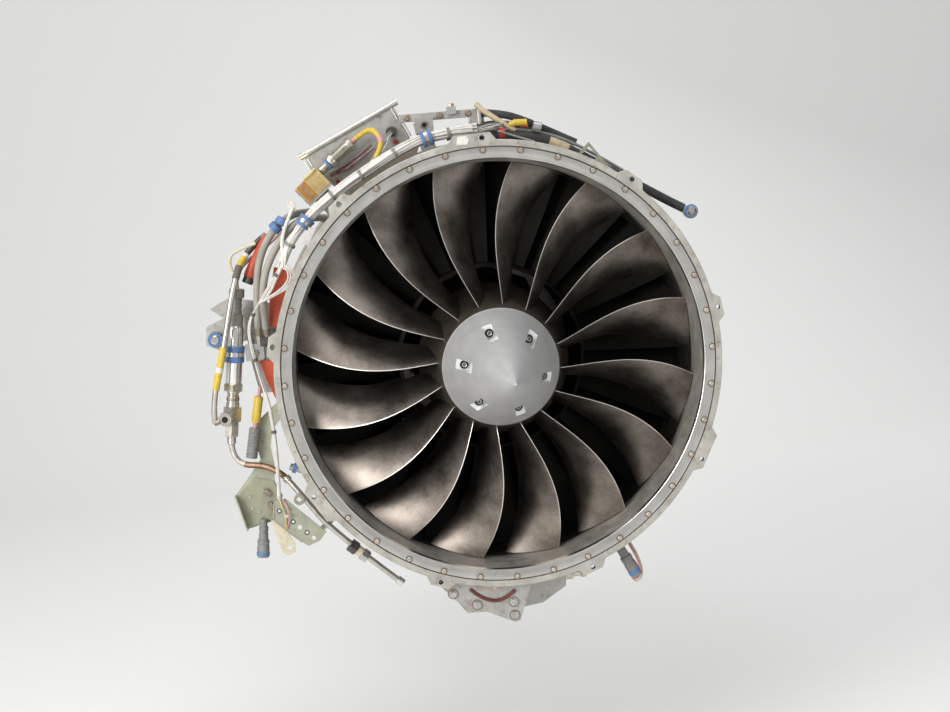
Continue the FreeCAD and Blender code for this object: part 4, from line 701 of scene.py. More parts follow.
# ================================================================ sizes and colours
class TurbofanFan(bpy.types.PropertyGroup):
    blade_count: IntProperty(name="Blades", description="Number of fan blades", default=16, min=8, max=32)
    tip_radius: FloatProperty(
        name="Tip radius", description="Radius of the blade tips in millimetres", default=265.1)
    spinner_radius: FloatProperty(
        name="Spinner radius", description="Radius of the spinner's base in millimetres", default=76.9)
    spinner_length: FloatProperty(
        name="Spinner length", description="Length of the spinner in millimetres", default=180.9)
    blade_light: FloatVectorProperty(
        name="Blade, light", description="Lighter colour of the blades", subtype="COLOR",
        default=(0.37, 0.33, 0.295), min=0, max=1)
    blade_dark: FloatVectorProperty(
        name="Blade, dark", description="Darker colour of the blades", subtype="COLOR",
        default=(0.14, 0.115, 0.096), min=0, max=1)
    # Colour of the painted highlight along the leading edges.
    edge_highlight_colour: FloatVectorProperty(
        name="Leading edge", description="Colour of the polished leading edges", subtype="COLOR",
        default=(0.66, 0.62, 0.57), min=0, max=1)


class TurbofanRings(bpy.types.PropertyGroup):
    segments: IntProperty(
        name="Segments", description="Facets round each large ring", default=256, min=48, max=512)
    screw_count: IntProperty(
        name="Lip screws", description="Screws round the inlet lip", default=36, min=6, max=72)
    screw_circle: FloatProperty(
        name="Screw circle", description="Radius of the screws' circle in millimetres", default=281.4)
    screw_phase: FloatProperty(
        name="First screw", description="Angle of one screw in degrees", default=90.0)
    screw_flats: FloatProperty(
        name="Screw size", description="Size of a screw across its flats in millimetres", default=5.6)


class TurbofanLight(bpy.types.PropertyGroup):
    key_power: FloatProperty(
        name="Key light", description="Power of the main soft light", default=115.0, subtype="POWER",
        unit="POWER")
    fill_power: FloatProperty(
        name="Fill light", description="Power of the fill light", default=20.0, subtype="POWER", unit="POWER")
    top_power: FloatProperty(
        name="Top light", description="Power of the lights overhead and behind", default=34.0,
        subtype="POWER", unit="POWER")
    floor_colour: FloatVectorProperty(
        name="Floor", description="Colour of the plain floor and backdrop", subtype="COLOR",
        default=(0.76, 0.76, 0.75), min=0, max=1)


# ================================================================ fan
# Pairs run from the root to the tip, and fours are a smooth curve along the span.
BLADE_WRAP = (10.5, 15.5)
BLADE_LEAN = (0.9, 9.6, 5.8, 0.0)
BLADE_SWEEP = (9.9, -10.1, 17.4, 43.4)
BLADE_BACK = (84.0, 76.0)
BLADE_CAMBER = (0.75, 0.15)
BLADE_THICK = (8.5, 3.0)
BLADE_EDGE = 0.75
BLADE_FILLET = 5.0
BLADE_PHASE = 171.4
BLADE_SPANS = 44
BLADE_CHORDS = 26
BLADE_SPAN_GROWTH = 1.35
BLADE_SHARP = 50.0
HUB_SEAT_Y = -6.5
HUB_BACK_Y = 90.0
HUB_BACK_RADIUS = 102.0
HUB_REGISTER = (57.0, -36.0)
HUB_INSIDE = ((HUB_BACK_RADIUS - 8, HUB_BACK_Y), (70.0, 62.0), (18.2, 40.0))
HUB_SINK = 1.5


def bezier(values, share):
    """Value of a smooth curve through the first and last of four values."""
    rest = 1 - share
    return (values[0] * rest ** 3 + 3 * values[1] * share * rest ** 2
            + 3 * values[2] * share ** 2 * rest + values[3] * share ** 3)


def hub_radius(station, front_radius):
    """Radius of the flow path on the fan hub."""
    share = (station - SPINNER_BACK_Y) / (HUB_BACK_Y - SPINNER_BACK_Y)
    return blend_value(front_radius, HUB_BACK_RADIUS, share)


def blade_point(fan, share, along, side):
    """Point of the blade's skin at a share of the span and of the chord, on one side."""
    middle = BLADE_WRAP[1] / 2
    radius = blend_value(fan.spinner_radius, fan.tip_radius, share)
    front = math.radians(bezier(BLADE_LEAN, share) + middle)
    back = front - math.radians(blend_value(*BLADE_WRAP, share))
    height = radius * math.cos(front)
    front_y, back_y = bezier(BLADE_SWEEP, share), blend_value(*BLADE_BACK, share)
    front_t, back_t = height * math.tan(front), height * math.tan(back)
    camber = blend_value(*BLADE_CAMBER, share)
    run_y, run_t = back_y - front_y, back_t - front_t
    y = front_y + run_y * along
    t = front_t + run_t * (along * (1 + camber) - camber * along * along)
    slope_t = run_t * (1 + camber - 2 * camber * along)
    length = math.hypot(run_y, slope_t)
    bow = along * (1 - along)
    thick = blend_value(*BLADE_THICK, share)
    half = thick * 2 * along * (1 - along) + BLADE_EDGE * math.sqrt(max(bow, 0) * 4) ** 0.5
    above = max(radius - fan.spinner_radius, 0)
    half += BLADE_FILLET * math.exp(-above / (0.55 * BLADE_FILLET)) * math.sqrt(max(bow, 0.04)) * 1.6
    return (height, y - side * half * slope_t / length, t + side * half * run_y / length)


def blade_skin(fan):
    """Rows of points from the hub to the tip circle, each from front to back and round again."""
    shares = np.linspace(-0.08, 1.06, 90)
    ease = [0.5 - 0.5 * math.cos(math.pi * number / BLADE_CHORDS) for number in range(BLADE_CHORDS + 1)]
    loop = [(along, 1) for along in ease] + [(along, -1) for along in ease[-2:0:-1]]
    columns = []
    for along, side in loop:
        line = np.array([blade_point(fan, share, along, side) for share in shares])
        radii = np.hypot(line[:, 0], line[:, 2])
        root_y = np.interp(fan.spinner_radius, radii, line[:, 1])
        start = hub_radius(root_y, fan.spinner_radius) - HUB_SINK
        grow = np.linspace(0, 1, BLADE_SPANS + 1) ** BLADE_SPAN_GROWTH
        wanted = start + (fan.tip_radius - start) * grow
        columns.append(np.stack([np.interp(wanted, radii, line[:, axis]) for axis in range(3)], axis=1))
    rows = [[columns[place][row] for place in range(len(loop))] for row in range(BLADE_SPANS + 1)]
    return rows, loop


class TURBOFAN_OT_fan(bpy.types.Operator):
    """Builds the fan blades on their hub, with chord and span written on the corners"""
    bl_idname = "turbofan.fan"
    bl_label = "Fan"

    def execute(self, context):
        fan = context.scene.turbofan_fan
        rows, loop = blade_skin(fan)
        count = len(loop)
        shape = Shape("blade titanium")
        for number in range(fan.blade_count):
            spin = about_axis(BLADE_PHASE - BLADE_WRAP[1] / 2 + 360.0 * number / fan.blade_count)
            corners = [spin @ Vector(point) for row in rows for point in row]
            faces = []
            for level in range(BLADE_SPANS):
                low, high = level * count, (level + 1) * count
                for place in range(count):
                    after = (place + 1) % count
                    faces.append((low + place, low + after, high + after, high + place))
            faces.append(tuple(range(BLADE_SPANS * count, (BLADE_SPANS + 1) * count)))
            shape.add(corners, faces)
        chords = [along for _ in rows for along, _ in loop] * fan.blade_count
        heights = [level / BLADE_SPANS for level in range(BLADE_SPANS + 1) for _ in loop] * fan.blade_count
        rim = fan.spinner_radius
        shape.lathe([HUB_REGISTER, (HUB_REGISTER[0], HUB_SEAT_Y), (rim - 0.6, HUB_SEAT_Y),
                     (rim + 0.2, HUB_SEAT_Y + 1.0), (HUB_BACK_RADIUS, HUB_BACK_Y), *HUB_INSIDE], 192,
                    "hub titanium")
        hub_corners = len(shape.corners) - len(chords)
        values = {"chord": chords + [0.5] * hub_corners, "span": heights + [0.0] * hub_corners}
        shape.make("fan_blades", "fan_titanium", ("fan_rotor",), FAN_SPOOL, BLADE_SHARP, weld=False,
                   written=values)
        return {"FINISHED"}


# ================================================================ spinner
SPINNER_BACK_Y = -6.9
SPINNER_FLOOR_Y = -42.0
SPINNER_INSIDE = ((57.4, SPINNER_BACK_Y), (57.4, -36.0), (42.4, -36.0), (0.02, -120.0))
SPINNER_TIP_RADIUS = 1.2
SPINNER_SCREW_RADIUS = 51.4
SPINNER_SCREW_PHASE = 46.7
SPINNER_SCREW_COUNT = 6
SPINNER_SHARP = 28.0
POCKET_WIDTH = 13.0
SOCKET_SCREW = (((0.001, 0), (5.6, 0), (5.6, 0.8), (4.5, 0.8), (4.5, 4.2), (4.1, 4.7), (3.1, 4.8)), 32)
SOCKET_CHAMFER = (((3.1, 4.8), (2.1, 4.4), (2.0, 4.3)), 32)
SOCKET = (((2.0, 4.3), (2.0, 2.2), (0.9, 2.1), (0.001, 2.1)), 6)
SOCKET_PIN = (((0.001, 3.4), (0.75, 3.3), (0.8, 2.1)), 12)


class TURBOFAN_OT_spinner(bpy.types.Operator):
    """Builds the spinner with its screw pockets and screws"""
    bl_idname = "turbofan.spinner"
    bl_label = "Spinner"

    def execute(self, context):
        fan = context.scene.turbofan_fan
        tip_y = SPINNER_BACK_Y - fan.spinner_length
        turns = [SPINNER_SCREW_PHASE + 360.0 * number / SPINNER_SCREW_COUNT
                 for number in range(SPINNER_SCREW_COUNT)]
        shape = Shape("spinner aluminium")
        shape.lathe(self.outline(fan, tip_y), 192)
        cone = shape.make("spinner_cone", "spinner_metal", ("spinner",), FAN_SPOOL, SPINNER_SHARP)
        self.cut_pockets(context, cone, turns, tip_y, fan.spinner_radius)
        screws = Shape("screw black")
        for turn in turns:
            seat = polar(SPINNER_SCREW_RADIUS, turn, SPINNER_FLOOR_Y - 0.02)
            for (outline, segments), look in ((SOCKET_SCREW, "screw black"), (SOCKET_CHAMFER, "steel"),
                                              (SOCKET, "screw black"), (SOCKET_PIN, "steel")):
                screws.lathe(outline, segments, look, seat, FORWARD)
        screws.make("spinner_socket_screws", "fastener_steel", ("spinner_screws",), FAN_SPOOL)
        repaint("fan_nut", "dark steel", 0.6)
        return {"FINISHED"}

    def outline(self, fan, tip_y):
        """Cone with a blunt tip, a fine edge at its base and a hollow back."""
        lean = math.atan(fan.spinner_radius / fan.spinner_length)
        blunt = SPINNER_TIP_RADIUS
        start = tip_y + 0.35
        outline = [(0.02, start)]
        for number in range(1, 6):
            angle = (math.pi / 2 - lean) * number / 5
            outline.append((blunt * math.sin(angle), start + blunt * (1 - math.cos(angle))))
        start_r, start_y = outline[-1]
        for number in range(1, 40):
            y = start_y + (SPINNER_BACK_Y - 0.5 - start_y) * number / 39
            outline.append((blend_value(start_r, fan.spinner_radius - 0.3, number / 39), y))
        outline += [(fan.spinner_radius, SPINNER_BACK_Y - 0.1), (fan.spinner_radius - 0.6, SPINNER_BACK_Y)]
        return outline + list(SPINNER_INSIDE)

    def cut_pockets(self, context, cone, turns, tip_y, radius):
        """Cuts a flat-bottomed pocket for each screw."""
        pockets = Shape("pocket metal")
        half = POCKET_WIDTH / 2
        for turn in turns:
            pockets.box((SPINNER_SCREW_RADIUS - half, tip_y, -half), (radius + 5, SPINNER_FLOOR_Y, half),
                        turn=turn)
        cutter = pockets.make("pocket_cutter", body=FAN_SPOOL)
        cut = cone.modifiers.new("pockets", "BOOLEAN")
        cut.object = cutter
        cut.solver = "EXACT"
        cut.material_mode = "TRANSFER"
        context.view_layer.update()
        result = bpy.data.meshes.new_from_object(cone.evaluated_get(context.evaluated_depsgraph_get()))
        cone.modifiers.clear()
        cone.data = result
        result.set_sharp_from_angle(angle=math.radians(SPINNER_SHARP))
        bpy.data.objects.remove(cutter)


# ================================================================ lip ring and fan case
LIP_PROFILE = ((285.1, 6.0), (285.1, -0.7), (284.6, -1.2), (277.9, -1.2), (277.3, -1.05), (271.6, -0.45),
               (271.0, -0.1), (269.95, 6.0))
LIP_SHARP = 20.0
SCREW_SEAT_Y = -1.15
SCREW_WASHER = ((4.2, 0), (4.1, 0.3), (3.1, 0.35))
LUG_COUNT = 9
LUG_CIRCLE = 297.0
LUG_TOP = 303.4
LUG_FOOT = 288.0
LUG_HOLE = 4.5
LUG_DEPTH = 9.12
LUG_STAND = 0.06
LUG_WIDTHS = {False: (39.5, 24.4, 0.0), True: (62.5, 47.4, 2.5)}
BUSH_PROFILE = ((3.3, 9.0), (3.25, 8.9), (3.25, 0.0), (3.3, -0.15), (4.3, -0.15), (4.6, -0.05), (4.6, 9.0))
FLANGE_RADIUS = 294.6
CASE_SHARP = 22.0
# Each corner: radius, station, and the finish from there to the next.
CASE_PROFILE = (
    (285.9, 6.0, "flange aluminium"), (285.9, 0.4, "flange aluminium"), (286.3, 0.0, "flange aluminium"),
    (293.9, 0.0, "flange aluminium"), (FLANGE_RADIUS, 0.7, "flange aluminium"),
    (FLANGE_RADIUS, 8.4, "flange aluminium"), (294.0, 9.0, "flange aluminium"),
    (281.0, 9.0, "flange aluminium"), (279.5, 10.5, "case aluminium"), (279.5, 118.0, "case aluminium"),
    (281.5, 119.0, "case aluminium"), (281.5, 123.0, "case aluminium"), (279.5, 124.0, "case aluminium"),
    (279.5, 188.0, "case aluminium"), (280.5, 189.0, "case aluminium"), (280.5, 190.0, "flange aluminium"),
    # The inner wall from 190 mm to 88 mm is duct lining, near-black painted shade.
    (266.0, 190.0, "duct lining"), (266.0, 88.0, "duct lining"), (266.0, 86.0, "band metal"),
    (266.0, 62.0, "rub coat"), (266.0, 30.0, "rub coat"), (269.95, 6.0, "flange aluminium"))


class TURBOFAN_OT_lip(bpy.types.Operator):
    """Builds the inlet lip ring and its screws"""
    bl_idname = "turbofan.lip"
    bl_label = "Inlet lip"

    def execute(self, context):
        ring = context.scene.turbofan_rings
        shape = Shape("lip aluminium")
        shape.lathe(LIP_PROFILE, ring.segments, closed=True)
        shape.make("inlet_lip", "lip_metal", ("inlet_lip_ring",), sharp=LIP_SHARP)
        screws = Shape("nickel")
        reach = ring.screw_flats / 2 / math.cos(math.pi / 6)
        for number in range(ring.screw_count):
            angle = ring.screw_phase + 360.0 * number / ring.screw_count
            seat = polar(ring.screw_circle, angle, SCREW_SEAT_Y)
            screws.lathe(SCREW_WASHER, 28, "heat brown", seat, FORWARD)
            screws.lathe([(reach, 0.4), (reach, 1.25), (reach - 0.35, 1.5), (0.9, 1.5), (0.6, 1.2),
                          (0.001, 1.2)], 6, None, seat, FORWARD)
        screws.make("lip_screws", "fastener_steel")
        return {"FINISHED"}


class TURBOFAN_OT_case(bpy.types.Operator):
    """Builds the fan case with its flange, ears, rub coat and lining"""
    bl_idname = "turbofan.case"
    bl_label = "Fan case"

    def execute(self, context):
        shape = Shape("case aluminium")
        shape.lathe([corner[:2] for corner in CASE_PROFILE], context.scene.turbofan_rings.segments,
                    [corner[2] for corner in CASE_PROFILE], closed=True)
        shape.make("fan_case_body", "case_metal", ("fan_case",), sharp=CASE_SHARP)
        turns = [90.0 + 360.0 * number / LUG_COUNT for number in range(LUG_COUNT)]
        ears = Shape("flange aluminium")
        for number, turn in enumerate(turns):
            self.ear(ears, turn, *LUG_WIDTHS[number % 3 == 0])
        ears.make("flange_ears", "case_metal", ("fan_case",), sharp=25, bevel=0.5)
        bushes = Shape("dark steel")
        edges = ["dark steel" if edge == 1 else "steel" for edge in range(len(BUSH_PROFILE))]
        for turn in turns:
            bushes.lathe(BUSH_PROFILE, 32, edges, polar(LUG_CIRCLE, turn, 0.0), closed=True)
        bushes.make("ear_hole_bushes", "case_metal")
        return {"FINISHED"}

    def ear(self, ears, turn, base_width, top_width, shift):
        """One ear with a round hole, as a ring of quads between the hole and the outline."""
        base, top = base_width / 2, top_width / 2
        foot = math.sqrt(FLANGE_RADIUS ** 2 - base ** 2)
        spin = about_axis(turn)
        lean = about_axis(turn + shift)
        outline = [lean @ Vector((x, -LUG_STAND, z)) for x, z in
                   ((LUG_FOOT, -base), (foot, -base), (LUG_TOP, -top), (LUG_TOP, top), (foot, base),
                    (LUG_FOOT, base))]
        centre = spin @ Vector((LUG_CIRCLE, -LUG_STAND, 0))
        angles = [TURN * number / 40 for number in range(40)]
        for corner in outline:
            local = spin.inverted() @ (corner - centre)
            angles.append(math.atan2(local.z, local.x) % TURN)
        rim = []
        for angle in sorted(angles):
            ray = spin @ Vector((math.cos(angle), 0, math.sin(angle)))
            rim.append((centre + ray * LUG_HOLE, self.hit(centre, ray, outline)))
        corners, faces = [], []
        for depth in (0.0, LUG_DEPTH):
            for near, far in rim:
                corners.extend((near + Vector((0, depth, 0)), far + Vector((0, depth, 0))))
        count = len(angles)
        back = 2 * count
        for number in range(count):
            after = (number + 1) % count
            inner, outer = 2 * number, 2 * number + 1
            inner_after, outer_after = 2 * after, 2 * after + 1
            faces += [(inner, outer, outer_after, inner_after),
                      (back + inner, back + inner_after, back + outer_after, back + outer),
                      (outer, back + outer, back + outer_after, outer_after),
                      (inner, inner_after, back + inner_after, back + inner)]
        ears.add(corners, faces)

    def hit(self, centre, ray, outline):
        """Where a ray from the hole's centre meets the outline."""
        best = None
        for here, there in zip(outline, outline[1:] + outline[:1]):
            edge = there - here
            slant = ray.x * edge.z - ray.z * edge.x
            if abs(slant) < 1e-9:
                continue
            gap = here - centre
            distance = (gap.x * edge.z - gap.z * edge.x) / slant
            share = (gap.x * ray.z - gap.z * ray.x) / slant
            if distance > 0 and -1e-6 <= share <= 1 + 1e-6 and (best is None or distance < best):
                best = distance
        return centre + ray * best


# ================================================================ vanes, frame, core and ducts
VANE_COUNT = 32
VANE_SPAN = (128.3, 264.4)
VANE_STATIONS = (126.0, 176.0)
VANE_REACH = (31.0, 64.0)
VANE_THICK = (1.5, 0.6)
VANE_STEPS = 9
VANE_ROWS = 7
CORE_FINISHES = {
    "core_case": "hot steel", "rear_frame": "hot steel", "fan_turbine": "hot steel",
    "core_turbine": "hot steel", "fan_shaft": "shaft steel", "core_shaft": "shaft steel",
    "impeller": "shaft steel", "diffuser": "steel", "fan_bearings": "polished steel",
    "core_bearings": "polished steel"}
FRAME_FRONT = (286.2, 190.0)
FRAME_BACK = (285.5, 262.0)
REAR_FEET = [(x, y, 243.2) for x in (-36, 36) for y in (664, 736)]
TRUNNION_Y = 222.5
TRUNNION_FACE = (299.0, 302.0)


class TURBOFAN_OT_structure(bpy.types.Operator):
    """Builds the guide vanes and finishes the frame, the core and the shafts"""
    bl_idname = "turbofan.structure"
    bl_label = "Frame and core"

    def execute(self, context):
        self.vanes()
        for node, name in CORE_FINISHES.items():
            repaint(node, name)
        repaint("intermediate_frame", "frame casting", 0.8)
        repaint("rear_mount_lug", "steel", 0.6)
        bolts = Shape("stained steel")
        bolts.bolt_circle(*FRAME_FRONT, FORWARD, 48, 7.0, 4.6, "steel")
        bolts.bolt_circle(*FRAME_BACK, AFT, 48, 8.0, 5.2, "steel")
        for seat in REAR_FEET:
            bolts.bolt(seat, UP, 9.0, 6.0, "steel")
        for side in (-1, 1):
            near, far = ((side * x, TRUNNION_Y, 0) for x in TRUNNION_FACE)
            bolts.band(near, far, 12.8, 16.5, 48, "steel")
        bolts.make("frame_bolts", "fastener_steel")
        return {"FINISHED"}

    def vanes(self):
        """Curved vanes that close the view through the fan."""
        # The vanes are near-black painted shade, so the passage behind the fan reads dark.
        shape = Shape("vane metal")
        ease = [step / (VANE_STEPS - 1) for step in range(VANE_STEPS)]
        loop = [(along, 1) for along in ease] + [(along, -1) for along in ease[-2:0:-1]]
        count = len(loop)
        for number in range(VANE_COUNT):
            spin = about_axis(360.0 * number / VANE_COUNT)
            corners, faces = [], []
            for row in range(VANE_ROWS):
                share = row / (VANE_ROWS - 1)
                radius, reach = blend_value(*VANE_SPAN, share), blend_value(*VANE_REACH, share)
                for along, side in loop:
                    thick = blend_value(*VANE_THICK, share) * math.sqrt(max(4 * along * (1 - along), 0.04))
                    offset = -reach * (1 - along) ** 1.6 + side * thick
                    station = blend_value(*VANE_STATIONS, along)
                    corners.append(spin @ Vector((math.sqrt(radius ** 2 - offset ** 2), station, offset)))
            for row in range(VANE_ROWS - 1):
                for place in range(count):
                    here, after = row * count + place, row * count + (place + 1) % count
                    faces.append((here, after, after + count, here + count))
            last = (VANE_ROWS - 1) * count
            faces += [tuple(range(count)), tuple(range(last, last + count))]
            shape.add(corners, faces)
        shape.make("curved_vanes", "vane_metal", ("guide_vanes",), sharp=40)


DUCT_LINE = ((262.0, 271.5), (750.0, 230.0))
DUCT_FLANGE = ((291.4, 255.0), (292.0, 255.6), (292.0, 261.4), (291.4, 262.0))
DUCT_BANDS = (330.0, 480.0, 620.0)
DUCT_BAND_HALF = 9.0
DUCT_BAND_HEIGHT = 1.2
RIVET = ((1.9, 0), (1.4, 0.7), (0.001, 0.95))
RIVET_ROWS = (-5.5, 5.5)
RIVET_COUNT = 72
NOZZLE_PROFILE = (
    (238.4, 750.0), (239.0, 750.6), (239.0, 756.4), (238.4, 757.0), (231.5, 757.0), (230.0, 758.4),
    (195.6, 985.0), (196.4, 990.0), (196.4, 996.0), (193.6, 999.0), (192.0, 1009.4), (191.4, 1010.0),
    (189.0, 1010.0), (227.0, 750.0))
NOZZLE_BOLTS = (234.8, 757.0)
TAIL_CONE = ((0.001, 784.0), (58.0, 784.0), (57.0, 792.0), (44.0, 838.0), (24.0, 898.0), (14.0, 928.0),
             (9.0, 933.0), (0.001, 934.0))


def duct_skin(station):
    """Radius of the duct's outer skin at a station."""
    (front, wide), (back, narrow) = DUCT_LINE
    return blend_value(wide, narrow, (station - front) / (back - front))


class TURBOFAN_OT_duct(bpy.types.Operator):
    """Builds the bypass duct, the nozzle and the tail cone"""
    bl_idname = "turbofan.duct"
    bl_label = "Duct and nozzle"

    def execute(self, context):
        (front, wide), (back, narrow) = DUCT_LINE
        outline = [*DUCT_FLANGE, (wide + 1.0, front)]
        for station in DUCT_BANDS:
            low, high = station - DUCT_BAND_HALF, station + DUCT_BAND_HALF
            outline += [(duct_skin(low), low), (duct_skin(low) + DUCT_BAND_HEIGHT, low + 0.4),
                        (duct_skin(high) + DUCT_BAND_HEIGHT, high - 0.4), (duct_skin(high), high)]
        outline += [(narrow, back), (narrow - 3, back), (269.1, 255.0)]
        looks = ["duct skin"] * len(outline)
        # The duct's inner face is duct lining, near-black painted shade.
        looks[-2] = "duct lining"
        shape = Shape("duct skin")
        shape.lathe(outline, 192, looks, closed=True)
        for angle in (0.0, 180.0):
            path = [polar(duct_skin(station) + 0.4, angle, station) for station in (264, 500, 749)]
            shape.ribbon(path, 22.0, 1.4, polar(1, angle + 90, 0))
        shape.make("duct_skin_panels", "case_metal", ("bypass_duct",), sharp=25)
        rivets = Shape("steel")
        for station in DUCT_BANDS:
            for row in RIVET_ROWS:
                radius = duct_skin(station + row) + 1.1
                for number in range(RIVET_COUNT):
                    angle = 360.0 * (number + 0.5) / RIVET_COUNT
                    rivets.lathe(RIVET, 6, None, polar(radius, angle, station + row), polar(1, angle, 0))
        rivets.make("duct_rivets", "fastener_steel")
        nozzle = Shape("hot steel")
        nozzle.lathe(NOZZLE_PROFILE, 192, closed=True)
        nozzle.bolt_circle(*NOZZLE_BOLTS, AFT, 60, 6.0, 4.0, finish="stained steel")
        nozzle.make("nozzle_shell", "hot_metal", ("exhaust_nozzle",), sharp=25)
        cone = Shape("hot steel")
        cone.lathe(TAIL_CONE, 96)
        cone.make("tail_cone", "hot_metal", ("exhaust_cone",), sharp=30)
        return {"FINISHED"}


# ================================================================ sensor and its clamp
SENSOR_TOP = Vector((-334, 80, 125))
SENSOR_BOTTOM = Vector((-360, 80, -71))
STRAP_BOLT = Vector((-316.8, 78.5, 37.2))
ELBOW = Vector((-366, 68, -46))
# Steps are (share of the length, radius).
BARREL_STEPS = ((0, 9.4), (0.02, 10.5), (0.04, 10.8), (0.94, 10.8), (0.96, 10.2), (0.975, 10.2),
                (0.985, 10.9), (1, 10.9))
PLUG_NECK_STEPS = ((0, 7.4), (0.2, 7.4), (0.22, 6.7), (0.3, 6.7), (0.32, 7.5), (0.6, 7.5), (0.62, 6.9),
                   (0.7, 6.9), (0.72, 7.6), (1, 7.6))
UNION_STEPS = ((0, 8.6), (0.15, 8.6), (0.18, 7.4), (0.3, 7.4), (0.34, 8.2), (0.74, 8.2), (0.76, 8.9),
               (0.98, 8.9), (1, 8.4))
CAP_STEPS = ((0, 9.0), (0.1, 9.2), (0.9, 9.2), (1, 8.6))
CAP_RIM = ((4.4, 0), (4.4, 0.6), (6.6, 0.6), (6.6, 0))
PLUG_GRIP_COUNT = 12
STRAP_EAR = ((-331, 27.5), (-329, 27), (-309, 27), (-306, 30), (-306, 47), (-309, 50), (-329, 50),
             (-331, 49.5))
PLUG_WIRES = ("white jacket", "pink jacket", "cushion blue", "white jacket", "pink jacket")
PLUG_WIRE_ROUTE = ((-336, 82, 140), (-322, 88, 158), (-296, 92, 172), (-268, 96, 196))


def on_sensor(share):
    """Point on the sensor's axis."""
    return SENSOR_TOP.lerp(SENSOR_BOTTOM, share)


class TURBOFAN_OT_sensor(bpy.types.Operator):
    """Builds the pressure sensor with its plug, fittings, clamp and wires"""
    bl_idname = "turbofan.sensor"
    bl_label = "Pressure sensor"

    def execute(self, context):
        at = on_sensor
        body = Shape("polished steel")
        body.turned(at(0.25), at(0.645), BARREL_STEPS, 64)
        body.bar(at(0.64), at(0.69), 6, 24.0, 0.8, "nickel")
        body.make("sensor_barrel", "polished_steel", ("pressure_sensor",))
        plug = Shape("warm plastic")
        plug.bar(at(0), at(0.06), 12, 19.6, 0.8)
        plug.turned(at(0.058), at(0.172), PLUG_NECK_STEPS, 32)
        plug.bar(at(0.17), at(0.256), 12, 18.4, 0.7)
        for number in range(PLUG_GRIP_COUNT):
            spoke = polar(8.9, 360.0 * number / PLUG_GRIP_COUNT, 0)
            plug.sweep([at(0.182) + spoke, at(0.245) + spoke], 0.9, 6, "dark steel")
        plug.make("plug_shell", "plug_grey", ("sensor_plug",), sharp=30, bevel=0.3)
        self.unions(at)
        self.clamp(at)
        wires = Shape("white jacket")
        for number, look in enumerate(PLUG_WIRES):
            shift = Vector((2.6 * math.cos(1.3 * number), 2.6 * math.sin(1.3 * number), 0))
            wires.wire([Vector(point) + shift for point in (at(0.01), *PLUG_WIRE_ROUTE)], 1.15, look)
        wires.make("plug_wires", "wire_white")
        repaint("clamp_bracket", "grey green", 0.8)
        return {"FINISHED"}

    def unions(self, at):
        """Union below the sensor with its nuts, and the elbow with a capped hole beside it."""
        fitting = Shape("nickel")
        fitting.turned(at(0.685), at(0.80), UNION_STEPS, 40)
        fitting.band(at(0.735), at(0.755), 7.0, 8.7, 40, "stained steel")
        fitting.bar(at(0.80), at(0.90), 4, 17.0, 0.8)
        fitting.bar(at(0.895), at(1.0), 6, 17.4, 0.9)
        fitting.turned(ELBOW + AFT * 4, ELBOW - AFT * 3.4, CAP_STEPS, 40)
        fitting.lathe(CAP_RIM, 32, "stained steel", ELBOW - AFT * 3.6, AFT)
        fitting.turned(ELBOW - AFT * 3.5, ELBOW - AFT * 3.8, [(0, 4.3), (1, 4.2)], 28, "screw black")
        fitting.sweep([ELBOW, at(0.865)], 5.2, 20)
        fitting.bar((-380.5, 67, -49.5), (-372, 67.5, -47), 6, 8.6, 0.6, "stained steel")
        fitting.make("sensor_unions", "fastener_steel", ("sensor_fitting",), sharp=30, bevel=0.3)

    def clamp(self, at):
        """Blue cushion round the barrel, and the strap over it with its bolted ear."""
        low, high = at(0.385), at(0.495)
        length = (high - low).length
        cushion = Shape("cushion blue")
        cushion.lathe([(10.8, 0), (12.6, 0), (13.2, 0.8), (13.2, 7.4), (12.4, 7.8), (12.4, length - 7.8),
                       (13.2, length - 7.4), (13.2, length - 0.8), (12.6, length), (10.8, length)], 48, None,
                      low, high - low, closed=True)
        cushion.make("clamp_cushion", "blue_rubber", ("sensor_cushion",), sharp=30)
        strap = Shape("polished steel")
        strap.band(at(0.425), at(0.455), 12.1, 13.5, 48, edge=0.3)
        strap.slab(STRAP_EAR, STRAP_BOLT.y, 3.0)
        strap.bolt(STRAP_BOLT, FORWARD, 8.0, 5.0, "polished steel", "stained steel")
        strap.make("strap_and_ear", "bright_strap", ("sensor_strap",), sharp=30, bevel=0.25)


# ================================================================ tubes and hoses
HOSE_ENDS = ((0.0, 0.05, 1.0, "nickel"), (0.93, 0.965, 1.0, "stained steel"), (0.965, 1.0, 0.8, "nickel"))
